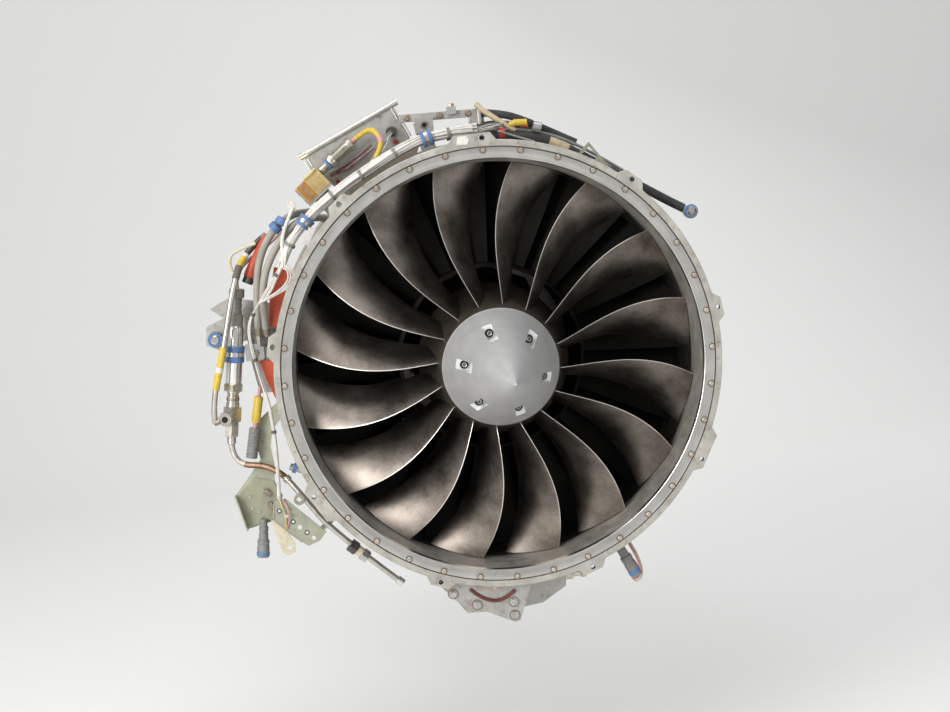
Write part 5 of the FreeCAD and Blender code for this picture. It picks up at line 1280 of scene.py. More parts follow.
# Each: route, radius, finish, slot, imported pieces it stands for, and its sleeves and bands.
TUBES = {
    "steel_tube": (
        ((-290, 100, 192), (-320, 82, 172), (-337, 60, 134), (-358.5, 60, 46), (-380, 60, -24),
         (-379, 68, -50)), 3.9, "tube steel", "polished_steel", ("steel_tube", "tube_sleeve"),
        ((0.0, 0.03, 0.5, "grey plastic"), (0.03, 0.147, 0.3, "dark steel"),
         (0.147, 0.165, 0.6, "white jacket"), (0.165, 0.22, 0.5, "yellow sleeve"),
         (0.22, 0.285, 1.2, "dark braid"), (0.62, 0.72, 0.9, "yellow sleeve"),
         (0.72, 0.745, 1.1, "white jacket"), (0.745, 0.83, 0.9, "yellow sleeve"))),
    "drain_tube": (
        ((-360, 80, -71.4), (-365.2, 80, -110), (-306, 64, -113), (-272, 48, -156), (-238, 46, -206),
         (-150, 44, -286)), 3.9, "tube steel", "polished_steel", ("drain_tube",),
        ((0.0, 0.03, 2.0, "nickel"), (0.14, 0.33, 0.15, "heat brown"), (0.33, 0.35, 1.6, "nickel"),
         (0.97, 1.0, 1.6, "polished steel"))),
    "outer_hose": (
        ((-222, 176, 214), (-226, 104, 218), (-263, 74, 216), (-300, 70, 172), (-310, 68, 110),
         (-311, 80, 51.1)), 5.0, "grey hose", "hose_grey", ("outer_hose",), HOSE_ENDS),
    "inner_hose": (
        ((-211, 176, 204), (-214, 92, 210), (-250, 58, 210), (-290, 56, 160), (-303, 54, 110),
         (-300, 80, 50.1)), 5.0, "grey hose", "hose_grey", ("inner_hose",), HOSE_ENDS),
    "black_hose": (
        ((-16, 62, 300), (45, 62, 299), (98, 62, 287), (180, 62, 236), (272, 62, 178), (272, 24, 178)), 6.0,
        "black braid", "hose_black", ("black_hose",),
        ((0.0, 0.02, 0.8, "steel"), (0.33, 0.41, 0.5, "tan sleeve"), (0.97, 1.0, 0.6, "steel"))),
}
COUPLING = (Vector((-215.8, 45.5, -226.2)), Vector((-193.6, 45, -246.3)))
COUPLING_NECK = ((0, 6.4), (0.1, 7.0), (0.9, 7.0), (1, 6.4))
# Each: route, radius, finish, sides.
TOP_LEADS = (
    (((-30, 70, 306), (12, 71, 307), (60, 71, 304), (112, 71, 290), (176, 71, 250), (214, 71, 222)), 2.2,
     "grey plastic", 8),
    (((-24, 74, 296), (24, 74, 297), (70, 74, 294), (110, 74, 282)), 3.4, "black braid", 8),
    (((4, 84, 330), (36, 82, 327), (68, 80, 314), (100, 78, 297), (132, 76, 280)), 5.2, "black braid", 14),
    (((-40, 80, 300), (0, 80, 314), (44, 80, 314), (84, 78, 298), (118, 76, 284)), 4.2, "black braid", 12))


class TURBOFAN_OT_tubes(bpy.types.Operator):
    """Builds the tubes and hoses with their sleeves, bands and couplings"""
    bl_idname = "turbofan.tubes"
    bl_label = "Tubes and hoses"

    def execute(self, context):
        for name, row in TUBES.items():
            tube_run("laid_" + name, *row)
        start, end = COUPLING
        coupling = Shape("dark steel")
        coupling.bar(start, start.lerp(end, 0.38), 6, 16.6, 0.8)
        coupling.turned(start.lerp(end, 0.37), start.lerp(end, 0.68), COUPLING_NECK, 32, "cream sleeve")
        coupling.bar(start.lerp(end, 0.67), end, 6, 15.6, 0.8, "steel")
        coupling.make("tube_nuts", "fastener_steel", ("tube_coupling",))
        clip = Shape("cushion blue")
        clip.band((272, 30, 178), (272, 42, 178), 6.1, 9.1, 40, edge=0.8)
        clip.band((272, 33.5, 178), (272, 38.5, 178), 6.1, 9.9, 40, "polished steel", 0.2)
        clip.sweep([(272.5, 36, 187.5), (281.5, 36, 174.5)], 1.5, 10, "polished steel")
        clip.make("hose_clip", "blue_rubber", ("hose_clamp",))
        leads = Shape("black braid")
        for route, radius, look, sides in TOP_LEADS:
            leads.wire(route, radius, look, sides)
        leads.sweep([(26, 52, 304), (74, 48, 286)], 1.5, 10, "steel")
        leads.sweep([(43, 58, 311), (50, 58, 313), (66, 58, 312.4)], [3.2, 4.6, 4.4], 18, "yellow sleeve")
        leads.sweep([(58, 62, 309), (68, 62, 308)], 3.0, 16, "orange silicone")
        leads.band((74, 62, 306.2), (85, 62, 303.5), 6.2, 8.4, 28, "steel")
        leads.band((28, 62, 300.2), (37, 62, 300.0), 6.0, 7.4, 28, "red mark")
        leads.make("top_leads", "hose_black")
        return {"FINISHED"}


# ================================================================ harness, connector and terminal box
HARNESS_ROUTE = ((-2, 34, 309), (-44, 34, 307), (-94, 34, 297.5), (-212, 34, 232), (-260, 34, 183),
                 (-272, 38, 152))
HARNESS_TIES = (0.11, 0.34, 0.5, 0.64, 0.9)
CLIP_MIDDLES = (((-69, 34, 302.2), (-0.957, 0, -0.29)), ((-236, 34, 207.5), (-0.70, 0, -0.714)))
SENSOR_WIRE_ROUTE = ((-272.7, 38.1, 151.1), (-298, 42, 116), (-325, 56, 80), (-320, 68, 30), (-298, 46, -60),
                     (-304, 46, -156))
SENSOR_WIRE_TIES = (0.03, 0.22, 0.42, 0.72)
TIE_LENGTH = 0.012
CONNECTOR = (Vector((-209.4, 88.1, 270.2)), Vector((-166, 95, 304)))
CONNECTOR_KNURLS = 11
SLEEVED_LEAD_ROUTE = ((-165.8, 95, 304.2), (-153.5, 97, 313.8), (-136, 70, 322), (-122, 56, 296),
                      (-150, 45.8, 267))
BOX_TURN = 129.8
# Two corners of each block of the terminal box, and its finish.
BOX_BLOCKS = (
    ((322.2, 65, -11), (348, 100, 30), "gold plate"), ((347.8, 62, -11), (350.9, 100, 12), "gold plate"),
    ((323.5, 64.3, 12.6), (348.6, 99.0, 18.5), "amber tape"),
    ((323.5, 64.1, 18.5), (348.8, 99.2, 20.5), "steel"),
    ((323.5, 64.3, 20.5), (348.6, 99.0, 26.6), "amber tape"),
    ((323.4, 64.4, 28.2), (348.5, 98.8, 30.4), "steel"))
# Each: (x, z) outline, station, thickness, finish.
SMALL_PLATES = {
    "sheet under the harness": (
        ((-104.5, 292), (-75.5, 301), (-90, 262.5), (-110.5, 256.5), (-140.5, 239), (-170, 221.5),
         (-180.5, 241), (-146.5, 265)), 50.0, 1.2, "tan sheet"),
    "block at the hose's top": (
        ((-259.5, 232), (-250.5, 236), (-245.5, 225), (-256.5, 219)), 60.0, 14.0, "white jacket"),
    "tag on the harness": (
        ((-242.5, 180), (-231.5, 201), (-223.5, 197), (-234.5, 177)), 24.6, 2.0, "white jacket"),
    "sheet behind the sensor": (
        ((-330, 96), (-300, 104), (-266, 84), (-275, 45), (-279, 0), (-283, -20), (-318, -20), (-326, 30)),
        104.0, 2.0, "grey plate"),
    # Dark slab that stands only for the shadow beside the left ear: painted shadow.
    "painted shadow by the left ear": (
        ((-307.8, 67.2), (-270, 69.3), (-274, 52), (-299.2, 44.6), (-309.8, 46.9)), 70.0, 2.0, "dark steel"),
}
# Each: route, radius, finish.
SIDE_LEADS = (
    (((-268, 36, 157.6), (-282, 40, 134), (-290, 42, 118), (-304, 47, 107)), 2.2, "white jacket"),
    (((-250, 60, 226), (-262, 52, 205), (-270, 44, 180), (-268, 38, 160)), 2.6, "white jacket"),
    (((-303, 46, 185), (-330, 44, 178), (-341, 46, 166), (-336, 50, 148)), 2.4, "cream sleeve"))
BOOT_PATH = ((-291, 98, 190), (-296.4, 90, 178.6), (-301, 85, 169), (-311, 84, 149), (-315.9, 84, 139.4))
BOOT_RADII = (4.6, 6.0, 6.6, 8.2, 8.6)
BOOT_END = ((-315.9, 84, 139.6), (-320, 84, 131))
# Each: start, end, inner radius, outer radius, segments, finish, edge.
SMALL_RINGS = (
    ((-263.5, 62, 213), (-269, 62, 206), 5.4, 8.6, 28, "cushion blue", 0.8),
    ((-272, 70, 205), (-279, 71, 199), 5.4, 8.6, 28, "cushion blue", 0.8),
    ((-282, 60, -117.7), (-277, 60, -119.8), 4.6, 6.8, 28, "cushion blue"),
    ((-277.4, 46, -158.6), (-277.4, 41, -158.6), 3.6, 7.4, 24, "olive primer"))
# Each: route, number of wires, their radius, width of the bundle, finishes, seed.
THREADS = (
    (((-111, 107, 315), (-115, 101, 307), (-121, 96, 299), (-131, 70, 288), (-138, 46, 281)), 6, 0.9, 3.0,
     ("white jacket", "white jacket", "steel braid"), 3),
    (((-196, 104, 262), (-176, 100, 271), (-158, 98, 283), (-138, 100, 298)), 5, 0.8, 5.0,
     ("dark red seal", "white jacket", "dark red seal"), 6),
    (((-2, 36, 308), (12, 44, 311), (26, 60, 312), (40, 80, 310)), 9, 0.7, 4.5,
     ("white jacket", "steel braid", "white jacket"), 4))


class TURBOFAN_OT_harness(bpy.types.Operator):
    """Builds the wire harness, its clips, the connector and the terminal box"""
    bl_idname = "turbofan.harness"
    bl_label = "Harness"

    def execute(self, context):
        self.looms()
        self.connector()
        tube_run("yellow_lead", SLEEVED_LEAD_ROUTE, 3.5, "yellow sleeve", "sleeve_pale", ("sleeved_lead",),
                 ((0.0, 0.07, 0.4, "pink jacket"), (0.52, 0.6, 0.4, "pink jacket"),
                  (0.94, 1.0, 0.4, "white jacket")))
        case = Shape("gold plate")
        for low, high, look in BOX_BLOCKS:
            case.box(low, high, look, BOX_TURN)
        case.make("box_shell", "box_gold", ("terminal_box",), sharp=30, bevel=0.7)
        repaint("box_bracket", "grey plate", 0.6)
        extras = Shape("white jacket")
        for outline, station, thickness, look in SMALL_PLATES.values():
            extras.slab(outline, station, thickness, look)
        for route, radius, look in SIDE_LEADS:
            extras.wire(route, radius, look)
        extras.sweep(BOOT_PATH, BOOT_RADII, 20, "orange silicone")
        extras.sweep(BOOT_END, 7.4, 20, "dark steel")
        for ring in SMALL_RINGS:
            extras.band(*ring)
        extras.sweep([(-286, 60, -116), (-250, 60, -131)], 4.6, 20, "steel")
        steps = [(0, 7.0), (0.8, 7.0), (1, 5.6)]
        extras.turned((-111, 111.8, 315), (-111, 106, 315), steps, 28, "dark steel")
        extras.make("harness_extras", "wire_white")
        threads = Shape("white jacket")
        for row in THREADS:
            threads.bundle(*row)
        threads.make("loose_threads", "wire_white")
        return {"FINISHED"}

    def looms(self):
        """The harness along the case, the sensor's wires, and the clips with their ties."""
        loom = Shape("white jacket")
        looks = ["white jacket"] * 2 + ["steel braid"] + ["white jacket"] * 2
        loom.bundle(HARNESS_ROUTE, 30, 1.3, 7.0, looks, 5)
        path = smooth_route(HARNESS_ROUTE, 14)
        loom.sweep(part_of_path(path, 0.02, 0.98), 5.6, 16)
        for share in HARNESS_TIES:
            loom.sweep(part_of_path(path, share, share + TIE_LENGTH), 7.6, 20, "grey plastic")
        loom.make("wire_loom", "wire_white", ("wire_harness",), sharp=40)
        wires = Shape("white jacket")
        wires.bundle(SENSOR_WIRE_ROUTE, 5, 1.0, 2.2, ["white jacket"], 8)
        line = smooth_route(SENSOR_WIRE_ROUTE, 14)
        wires.sweep(part_of_path(line, 0.56, 0.99), 2.5, 16)
        for number in range(4):
            bow = 3.2 * number
            wires.wire([(-268.5, 33, 156), (-264 + bow, 32, 146), (-264 + bow, 33, 134),
                        (-278 + bow, 37, 120), (-304, 45, 107)], 1.1)
        for share in SENSOR_WIRE_TIES:
            wires.sweep(part_of_path(line, share, share + TIE_LENGTH), 3.5, 16, "dark braid")
        wires.make("sensor_wire_loom", "wire_white", ("sensor_wires",), sharp=40)
        clips = Shape("cushion blue")
        for middle, heading in CLIP_MIDDLES:
            middle, heading = Vector(middle), Vector(heading).normalized()
            clips.band(middle - heading * 7, middle - heading * 2.6, 7.4, 11.0, 32, edge=0.8)
            clips.band(middle + heading * 2.6, middle + heading * 7, 7.4, 11.0, 32, edge=0.8)
            clips.band(middle - heading * 2.7, middle + heading * 2.7, 7.4, 10.5, 32, "steel", 0.3)
        clips.make("harness_rings", "blue_rubber", ("harness_clips",))

    def connector(self):
        """Knurled connector with a blue ring at its neck."""
        start, end = CONNECTOR
        steps = [(0, 6.0), (0.04, 6.6), (0.27, 6.6), (0.28, 9.6), (0.30, 10.2), (0.40, 10.2), (0.42, 9.6)]
        for number in range(CONNECTOR_KNURLS):
            share = 0.43 + 0.04 * number
            steps += [(share, 7.6), (share + 0.008, 8.4), (share + 0.028, 8.4), (share + 0.036, 7.6)]
        steps += [(0.88, 7.6), (0.89, 9.8), (0.98, 10.1), (1.0, 9.4)]
        plug = Shape("nickel")
        plug.turned(start, end, steps, 40)
        plug.band(start.lerp(end, 0.2), start.lerp(end, 0.27), 6.4, 7.6, 32, "cushion blue")
        plug.make("knurled_plug", "fastener_steel", ("harness_connector",), sharp=30)


# ================================================================ brackets, plates and seals
REPAINTED = {
    "connector_bracket": ("grey plate", 0.5), "side_plate": ("pale primer", 0.8),
    "lower_bracket": ("grey green", 0.6), "cable_lug": ("cream sleeve", 0.5),
    "cast_bracket": ("cast grey", 1.6), "seal_strips": ("orange silicone", 0.6),
    "side_bracket": ("olive primer", 0.6), "round_plug": ("grey plastic", 0.6)}
EDGE_ROD = (Vector((-236, 113, 290)), Vector((-99.5, 113, 353.5)))
ROD_SLEEVES = ((0.0, 0.07), (0.93, 1.0))
# Top (x, z) of each rib, and how far its foot lies from it.
ROD_RIBS = (((-108.5, 347), (19, -41)), ((-103.5, 348), (19, -41)), ((-230.5, 287), (6, -13)),
            ((-225.5, 290), (6, -13)))
RED_STUDS = ((-105.5, 301), (-167.5, 274), (-184.5, 266), (-187.5, 254))
STUD_STEPS = ((0, 3.0), (0.8, 3.0), (1, 2.2))
DOUBLER = ((-336, -131), (-359, -155), (-349, -198), (-316, -191), (-302, -160), (-311, -138))
DOUBLER_Y = 88.2
DOUBLER_BOLTS = ((-321, -153), (-318, -171))
DOUBLER_RIVETS = ((-344, -157), (-342, -173), (-333, -179))
PLATE_RIVET = ((2.2, 0), (1.7, 1.0), (0.001, 1.3))
EDGING = ((-311.5, 56, -161), (-313.2, 56, -174), (-313.4, 56, -187), (-297, 56, -203), (-279.5, 56, -219))
HOLE_LINE = (Vector((-305.6, 55, -173.7)), Vector((-263.1, 55, -214.7)))
HOLE_COUNT = 6
HOLE_LEADS = (
    (((-300, 56, -158), (-294, 52, -166), (-292, 50, -184), (-297, 54, -198)), "pink jacket"),
    (((-304, 55, -157), (-300, 52, -170), (-297, 52, -186), (-299, 55, -200)), "gold plate"))
SEALANT_PATCH = ((-34, 291), (-20, 290), (-17, 296), (-20, 301), (-31, 301))
HANGING_PLUGS = (((-328, 84, -188), (-334, 84, -240)), ((134.6, 40, -245.2), (166, 40, -306)))
HANGING_PLUG_STEPS = (
    (0, 4.6), (0.19, 4.8), (0.2, 6.2), (0.3, 6.4), (0.31, 5.8), (0.36, 5.8), (0.37, 6.4), (0.54, 6.4),
    (0.55, 8.0), (0.62, 8.4), (0.64, 7.8), (0.7, 7.8), (0.72, 8.4), (0.97, 8.4), (1, 7.8))
PLUG_LOOPS = (
    (((160, 40, -296), (156, 36, -314), (172, 36, -306), (168, 38, -280), (153, 44, -252)),
     1.5, "pink jacket"),
    (((163, 42, -300), (159, 38, -318), (175, 38, -309), (171, 40, -280), (156, 46, -252)),
     1.2, "cream sleeve"))
SIDE_PLUG = (Vector((-316, 80, -8)), Vector((-336.5, 82, -103)))
SIDE_PLUG_SLEEVE = ((0, 5.4), (0.05, 6.0), (0.95, 6.0), (1, 5.4))
SIDE_PLUG_GRIPS = 7
ROUND_PLUG = Vector((-370, 98, 58))
TOP_LEGS = (102.5, 89.5)
BEAM = ((-99.6, 84.2, 325.2), (7.6, 93.8, 335.8))
BEAM_LEG = ((279.8, 84.4, -10), (333, 93.6, 10))
BEAM_STAY = ((3, 82, 342), (12, 80, 332), (52, 70, 302))
BEAM_BOLTS = (-90, -46, -8)
HINGE_HOLE = Vector((-68, 72.1, 319.5))
HINGE_RIM = ((3.4, 0), (3.4, 0.8), (5.4, 0.8), (5.8, 0))


class TURBOFAN_OT_brackets(bpy.types.Operator):
    """Finishes the brackets, plates and seals and adds their bolts"""
    bl_idname = "turbofan.brackets"
    bl_label = "Brackets and plates"

    def execute(self, context):
        for node, (name, edge) in REPAINTED.items():
            repaint(node, name, edge)
        self.rod()
        self.doubler()
        self.edging()
        self.hanging_plugs()
        self.side_plug()
        self.top()
        patch = Shape("sealant")
        patch.slab(SEALANT_PATCH, -0.6, 0.5)
        patch.make("sealant_patch", "case_metal")
        return {"FINISHED"}

    def rod(self):
        """Rod along the connector bracket's top edge, with its ribs and the red studs below."""
        start, end = EDGE_ROD
        rod = Shape("rod metal")
        rod.sweep([start, end], 4.25, 20)
        for low, high in ROD_SLEEVES:
            rod.sweep([start.lerp(end, low), start.lerp(end, high)], 4.4, 20, "polished steel")
        for (x, z), (right, up) in ROD_RIBS:
            rod.sweep([(x, 111, z - 2), (x + right, 111, z + up)], 1.1, 10, "polished steel")
        for x, z in RED_STUDS:
            rod.turned((x, 111.9, z), (x, 108.5, z), STUD_STEPS, 16, "red mark")
        rod.make("edge_rod", "fastener_steel")

    def doubler(self):
        """Doubler on the side plate, with two bolts and three rivets."""
        plate = Shape("olive primer")
        plate.slab(DOUBLER, DOUBLER_Y, 2.0)
        for x, z in DOUBLER_BOLTS:
            plate.bolt((x, DOUBLER_Y, z), FORWARD, 9.0, 5.4, "steel", "stained steel")
        for x, z in DOUBLER_RIVETS:
            plate.lathe(PLATE_RIVET, 12, "steel", (x, DOUBLER_Y + 0.1, z), FORWARD)
        plate.make("plate_doubler", "bracket_olive")

    def edging(self):
        """Tan edging of the lower bracket, the rims of its holes and two thin leads over it."""
        edge = Shape("tan sheet")
        edge.ribbon(EDGING, 4.2, 1.2, AFT)
        first, last = HOLE_LINE
        for number in range(HOLE_COUNT):
            hole = first.lerp(last, number / (HOLE_COUNT - 1))
            look = "white jacket" if number % 2 else "screw black"
            edge.band(hole - AFT * 0.5, hole + AFT * 0.8, 2.1, 3.3, 20, look, 0.2)
        for route, look in HOLE_LEADS:
            edge.wire(route, 0.9, look)
        edge.make("plate_edging", "fastener_steel")

    def hanging_plugs(self):
        """Plugs that hang on the left and below, with the loops of wire at the one below."""
        plugs = Shape("grey plastic")
        for start, end in HANGING_PLUGS:
            start, end = Vector(start), Vector(end)
            plugs.turned(start, end, HANGING_PLUG_STEPS, 32)
            plugs.band(start.lerp(end, 0.86), start.lerp(end, 0.95), 7.8, 8.9, 32, "cushion blue")
        for route, radius, look in PLUG_LOOPS:
            plugs.wire(route, radius, look)
        plugs.make("hanging_plugs", "plug_grey", ("loose_plugs",), sharp=30)

    def side_plug(self):
        """Plug by the sensor in its yellow sleeve, and the face of the round plug."""
        start, end = SIDE_PLUG
        grips = [(0, 6.6), (0.06, 7.9)]
        for number in range(SIDE_PLUG_GRIPS):
            share = 0.12 + 0.11 * number
            grips += [(share, 7.9), (share + 0.02, 7.2), (share + 0.05, 7.2), (share + 0.07, 7.9)]
        side = Shape("yellow sleeve")
        side.turned(start, start.lerp(end, 0.15), [(0, 2.3), (1, 2.4)], 16, "pink jacket")
        side.turned(start.lerp(end, 0.14), start.lerp(end, 0.5), SIDE_PLUG_SLEEVE, 28)
        side.turned(start.lerp(end, 0.5), start.lerp(end, 0.585), [(0, 3.4), (1, 3.4)], 20, "pink jacket")
        side.turned(start.lerp(end, 0.58), end, [*grips, (1, 7.4)], 28, "grey plastic")
        side.make("sleeved_side_plug", "plug_grey", ("sleeved_plug",), sharp=30)
        face = Shape("cushion blue")
        face.band(ROUND_PLUG, ROUND_PLUG - AFT * 2.2, 6.2, 9.9, 36)
        steps = [(0, 6.0), (0.7, 6.0), (1, 4.8)]
        face.turned(ROUND_PLUG, ROUND_PLUG - AFT * 3.4, steps, 30, "polished steel")
        face.make("round_plug_face", "blue_rubber")

    def top(self):
        """Beam on two legs over the case, with its stay, hinge block and bolts."""
        beam = Shape("grey plate")
        beam.box(*BEAM)
        for turn in TOP_LEGS:
            beam.box(*BEAM_LEG, turn=turn)
        beam.make("beam_on_legs", "bracket_olive", ("top_bracket",), sharp=30, bevel=0.9)
        parts = Shape("grey plate")
        parts.sweep(BEAM_STAY, [4.0, 4.0, 3.6], 16, "tan sleeve")
        parts.box((-80, 72, 309), (-56, 84.4, 330))
        parts.lathe(HINGE_RIM, 28, "stained steel", HINGE_HOLE, FORWARD)
        parts.turned(HINGE_HOLE + AFT * 0.1, HINGE_HOLE - AFT * 0.2, [(0, 3.4), (1, 3.4)], 24, "screw black")
        parts.box((-36, 78, 331), (-24, 90, 341))
        parts.bolt((-30, 84, 341), UP, 8.0, 4.1, finish="stained steel")
        parts.sweep([(6, 80, 300), (6, 80, 334)], 3.4, 16)
        for x in BEAM_BOLTS:
            parts.bolt((x, 84.2, 330.5), FORWARD, 6.5, 3.4, "stained steel", "stained steel")
        parts.make("beam_fittings", "fastener_steel", sharp=30, bevel=0.4)


# ================================================================ gearbox and accessories
COVER_BOLTS = ((-86, -300), (-55, -318), (-6, -319), (-6, -337))
BOLT_STAIN = ((0.001, 0), (7.2, 0), (7.2, 0.25), (0.001, 0.25))
SEAL_ROUTE = ((-63, 12.6, -296), (-52, 12.6, -307), (-32, 12.6, -316), (-15, 12.6, -312), (-3, 12.6, -303))
SEAL_PLATE = ((-58, -292), (-50, -300), (-33, -306), (-17, -302), (-8, -295), (-30, -288))
SEAL_STUD = ((3.2, 0), (2.8, 0.9), (0.001, 1.1))
OIL_UNION = (Vector((72.1, 78, -303)), Vector((102, 78, -303)))
OIL_NECK = ((0, 5.0), (0.1, 5.9), (0.9, 5.9), (1, 5.2))
OIL_END = ((0, 7.0), (0.1, 7.9), (0.85, 7.9), (1, 7.0))
BARREL_FRONT_Y = 150
# Each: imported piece, x, z, station of its back end, radius of its flange, radius of its barrel.
BARRELS = {"starter_barrel": ("starter_generator", -36, -325, 268, 30.8, 27.8),
           "pump_barrel": ("fuel_pump", 36, -320, 232, 25.8, 20.8)}


class TURBOFAN_OT_gearbox(bpy.types.Operator):
    """Finishes the accessory gearbox and builds its bolts, fitting and accessories"""
    bl_idname = "turbofan.gearbox"
    bl_label = "Gearbox"

    def execute(self, context):
        repaint("accessory_gearbox", "cast grey", 1.6)
        repaint("gearbox_cover", "grey plate", 0.8)
        bolts = Shape("steel")
        for x, z in COVER_BOLTS:
            bolts.lathe(BOLT_STAIN, 28, "heat brown", (x, 14.05, z), FORWARD)
            bolts.bolt((x, 13.9, z), FORWARD, 8.8, 5.0, "steel")
        bolts.make("cover_bolt_heads", "fastener_steel", ("cover_bolts",))
        seal = Shape("dark red seal")
        seal.wire(SEAL_ROUTE, 2.4, sides=12)
        seal.slab(SEAL_PLATE, 13.0, 1.1, "blush plate")
        seal.lathe(SEAL_STUD, 20, "cream sleeve", (-30, 13.2, -297), FORWARD)
        seal.make("cover_seal", "seal_orange")
        start, end = OIL_UNION
        oil = Shape("nickel")
        oil.bar(start, start.lerp(end, 0.4), 6, 16.8, 0.8)
        oil.turned(start.lerp(end, 0.39), start.lerp(end, 0.76), OIL_NECK, 28)
        oil.turned(start.lerp(end, 0.75), end, OIL_END, 32)
        oil.make("oil_union", "fastener_steel", ("oil_fitting",))
        for name, row in BARRELS.items():
            self.barrel(name, *row)
        return {"FINISHED"}

    def barrel(self, name, node, x, z, end, flange, barrel):
        """Ribbed barrel behind a bolted flange."""
        groove = barrel - 1
        steps = [(0, flange - 0.6), (0.01, flange), (0.07, flange), (0.08, barrel)]
        for share in (0.3, 0.8):
            steps += [(share, barrel), (share + 0.01, groove), (share + 0.04, groove), (share + 0.05, barrel)]
        steps += [(0.97, barrel), (1.0, barrel - 3)]
        drum = Shape("cast grey")
        drum.turned((x, BARREL_FRONT_Y, z), (x, end, z), steps, 64)
        seat_y = BARREL_FRONT_Y + 0.075 * (end - BARREL_FRONT_Y)
        for number in range(8):
            drum.bolt(Vector((x, seat_y, z)) + polar(flange - 3.4, 45.0 * number, 0), AFT, 4.6, 3.2,
                      finish="steel")
        drum.make(name, "cast_grey", (node,), sharp=30)


# ================================================================ camera, floor and lights
CAMERA_LENS = 70.84
CAMERA_SENSOR = 36.0
CAMERA_PLACE = ((0.99269, 0.09167, -0.07845, -0.22314), (-0.08873, 0.11407, -0.98950, -2.41141),
                (-0.08176, 0.98923, 0.12137, 0.31203), (0, 0, 0, 1))
LAMPS_AIM = Vector((0, 0.2, 0))
# Each: power, place, size, colour.
LAMPS = {
    "key": ("key_power", (-2.3, -2.2, 1.1), (1.6, 2.2), (1.0, 0.99, 0.97)),
    "fill": ("fill_power", (2.4, -2.6, 0.4), (1.8, 1.8), (0.97, 0.98, 1.0)),
    "top": ("top_power", (-0.2, -0.6, 2.6), (2.4, 2.0), (1.0, 1.0, 1.0)),
    "rear": ("top_power", (1.2, 3.0, 1.8), (2.4, 1.6), (1.0, 1.0, 1.0)),
}
SKY_COLOUR = (0.80, 0.81, 0.82, 1.0)
SKY_STRENGTH = 0.6
FLOOR_Z = -0.62
FLOOR_FRONT = -4.2
FLOOR_BACK = 4.0
FLOOR_HALF_WIDTH = 7.0
WALL_TOP = 4.6
WALL_BEND = 1.4


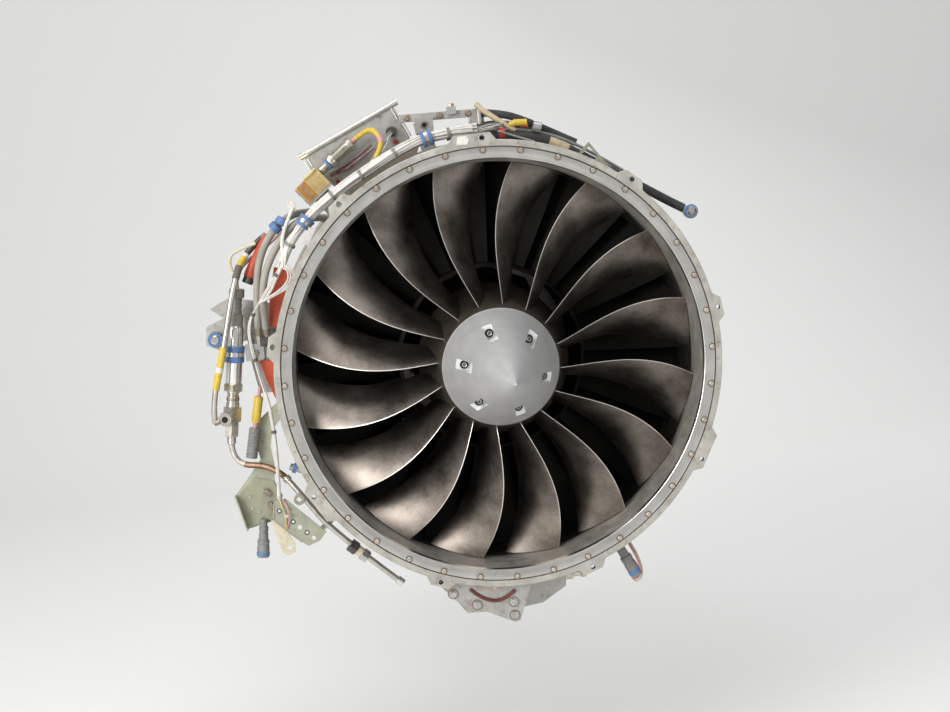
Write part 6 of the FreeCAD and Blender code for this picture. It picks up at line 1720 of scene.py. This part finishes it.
class TURBOFAN_OT_stage(bpy.types.Operator):
    """Adds the camera, the pale floor and backdrop and the soft lights"""
    bl_idname = "turbofan.stage"
    bl_label = "Stage"

    def execute(self, context):
        scene = context.scene
        light = scene.turbofan_light
        camera = bpy.data.cameras.new("camera")
        camera.lens = CAMERA_LENS
        camera.sensor_width = CAMERA_SENSOR
        camera.clip_end = 50.0
        holder = bpy.data.objects.new("camera", camera)
        holder.matrix_world = Matrix(CAMERA_PLACE)
        scene.collection.objects.link(holder)
        scene.camera = holder
        self.backdrop(context, tuple(light.floor_colour))
        for name, (power, place, size, colour) in LAMPS.items():
            lamp = bpy.data.lights.new(name, "AREA")
            lamp.shape = "RECTANGLE"
            lamp.size, lamp.size_y = size
            lamp.energy = getattr(light, power)
            lamp.color = colour
            stand = bpy.data.objects.new(name, lamp)
            stand.location = place
            stand.rotation_euler = (LAMPS_AIM - Vector(place)).to_track_quat("-Z", "Y").to_euler()
            scene.collection.objects.link(stand)
        world = bpy.data.worlds.new("studio")
        world.use_nodes = True
        scene.world = world
        sky = world.node_tree.nodes["Background"]
        sky.inputs["Color"].default_value = SKY_COLOUR
        sky.inputs["Strength"].default_value = SKY_STRENGTH
        scene.view_settings.view_transform = "Standard"
        return {"FINISHED"}

    def backdrop(self, context, colour):
        """One sheet that is floor in front and curves up into the wall behind."""
        line = [(FLOOR_FRONT, FLOOR_Z)]
        for number in range(13):
            angle = math.pi / 2 * number / 12
            line.append((FLOOR_BACK - WALL_BEND + WALL_BEND * math.sin(angle),
                         FLOOR_Z + WALL_BEND - WALL_BEND * math.cos(angle)))
        line.append((FLOOR_BACK, WALL_TOP))
        corners = [(x, y, z) for y, z in line for x in (-FLOOR_HALF_WIDTH, FLOOR_HALF_WIDTH)]
        faces = [(2 * number, 2 * number + 1, 2 * number + 3, 2 * number + 2)
                 for number in range(len(line) - 1)]
        mesh = bpy.data.meshes.new("backdrop")
        mesh.from_pydata(corners, [], faces)
        mesh.shade_smooth()
        material, tree, shader, place = start_finish("backdrop paper")
        shader.inputs["Roughness"].default_value = 0.9
        shade = tuple(part * 0.985 for part in colour)
        tone = ramp(tree, noise(tree, place, 3.0, 2.0), [(0.0, shade), (1.0, colour)])
        tree.links.new(tone, shader.inputs["Base Color"])
        mesh.materials.append(material)
        sheet = bpy.data.objects.new("backdrop", mesh)
        context.collection.objects.link(sheet)


class TURBOFAN_PT_panel(bpy.types.Panel):
    """Lists the pieces and their sizes and colours"""
    bl_idname = "TURBOFAN_PT_panel"
    bl_label = "Turbofan"
    bl_space_type = "VIEW_3D"
    bl_region_type = "UI"
    bl_category = "Turbofan"

    def draw(self, context):
        for name in GROUPS:
            group = getattr(context.scene, name)
            column = self.layout.column()
            for key in group.__annotations__:
                column.prop(group, key)
        for operator in OPERATORS:
            self.layout.operator(operator.bl_idname)


GROUPS = {"turbofan_fan": TurbofanFan, "turbofan_rings": TurbofanRings, "turbofan_light": TurbofanLight}
OPERATORS = [TURBOFAN_OT_stage, TURBOFAN_OT_fan, TURBOFAN_OT_spinner, TURBOFAN_OT_lip, TURBOFAN_OT_case,
             TURBOFAN_OT_structure, TURBOFAN_OT_duct, TURBOFAN_OT_sensor, TURBOFAN_OT_tubes,
             TURBOFAN_OT_harness, TURBOFAN_OT_brackets, TURBOFAN_OT_gearbox]


def register():
    for name, group in GROUPS.items():
        bpy.utils.register_class(group)
        setattr(bpy.types.Scene, name, PointerProperty(type=group))
    for operator in OPERATORS:
        bpy.utils.register_class(operator)
    bpy.utils.register_class(TURBOFAN_PT_panel)


def unregister():
    bpy.utils.unregister_class(TURBOFAN_PT_panel)
    for operator in reversed(OPERATORS):
        bpy.utils.unregister_class(operator)
    for name, group in GROUPS.items():
        delattr(bpy.types.Scene, name)
        bpy.utils.unregister_class(group)


def main():
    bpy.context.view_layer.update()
    register()
    for operator in OPERATORS:
        category, name = operator.bl_idname.split(".")
        getattr(getattr(bpy.ops, category), name)()


if __name__ == "__main__":
    main()
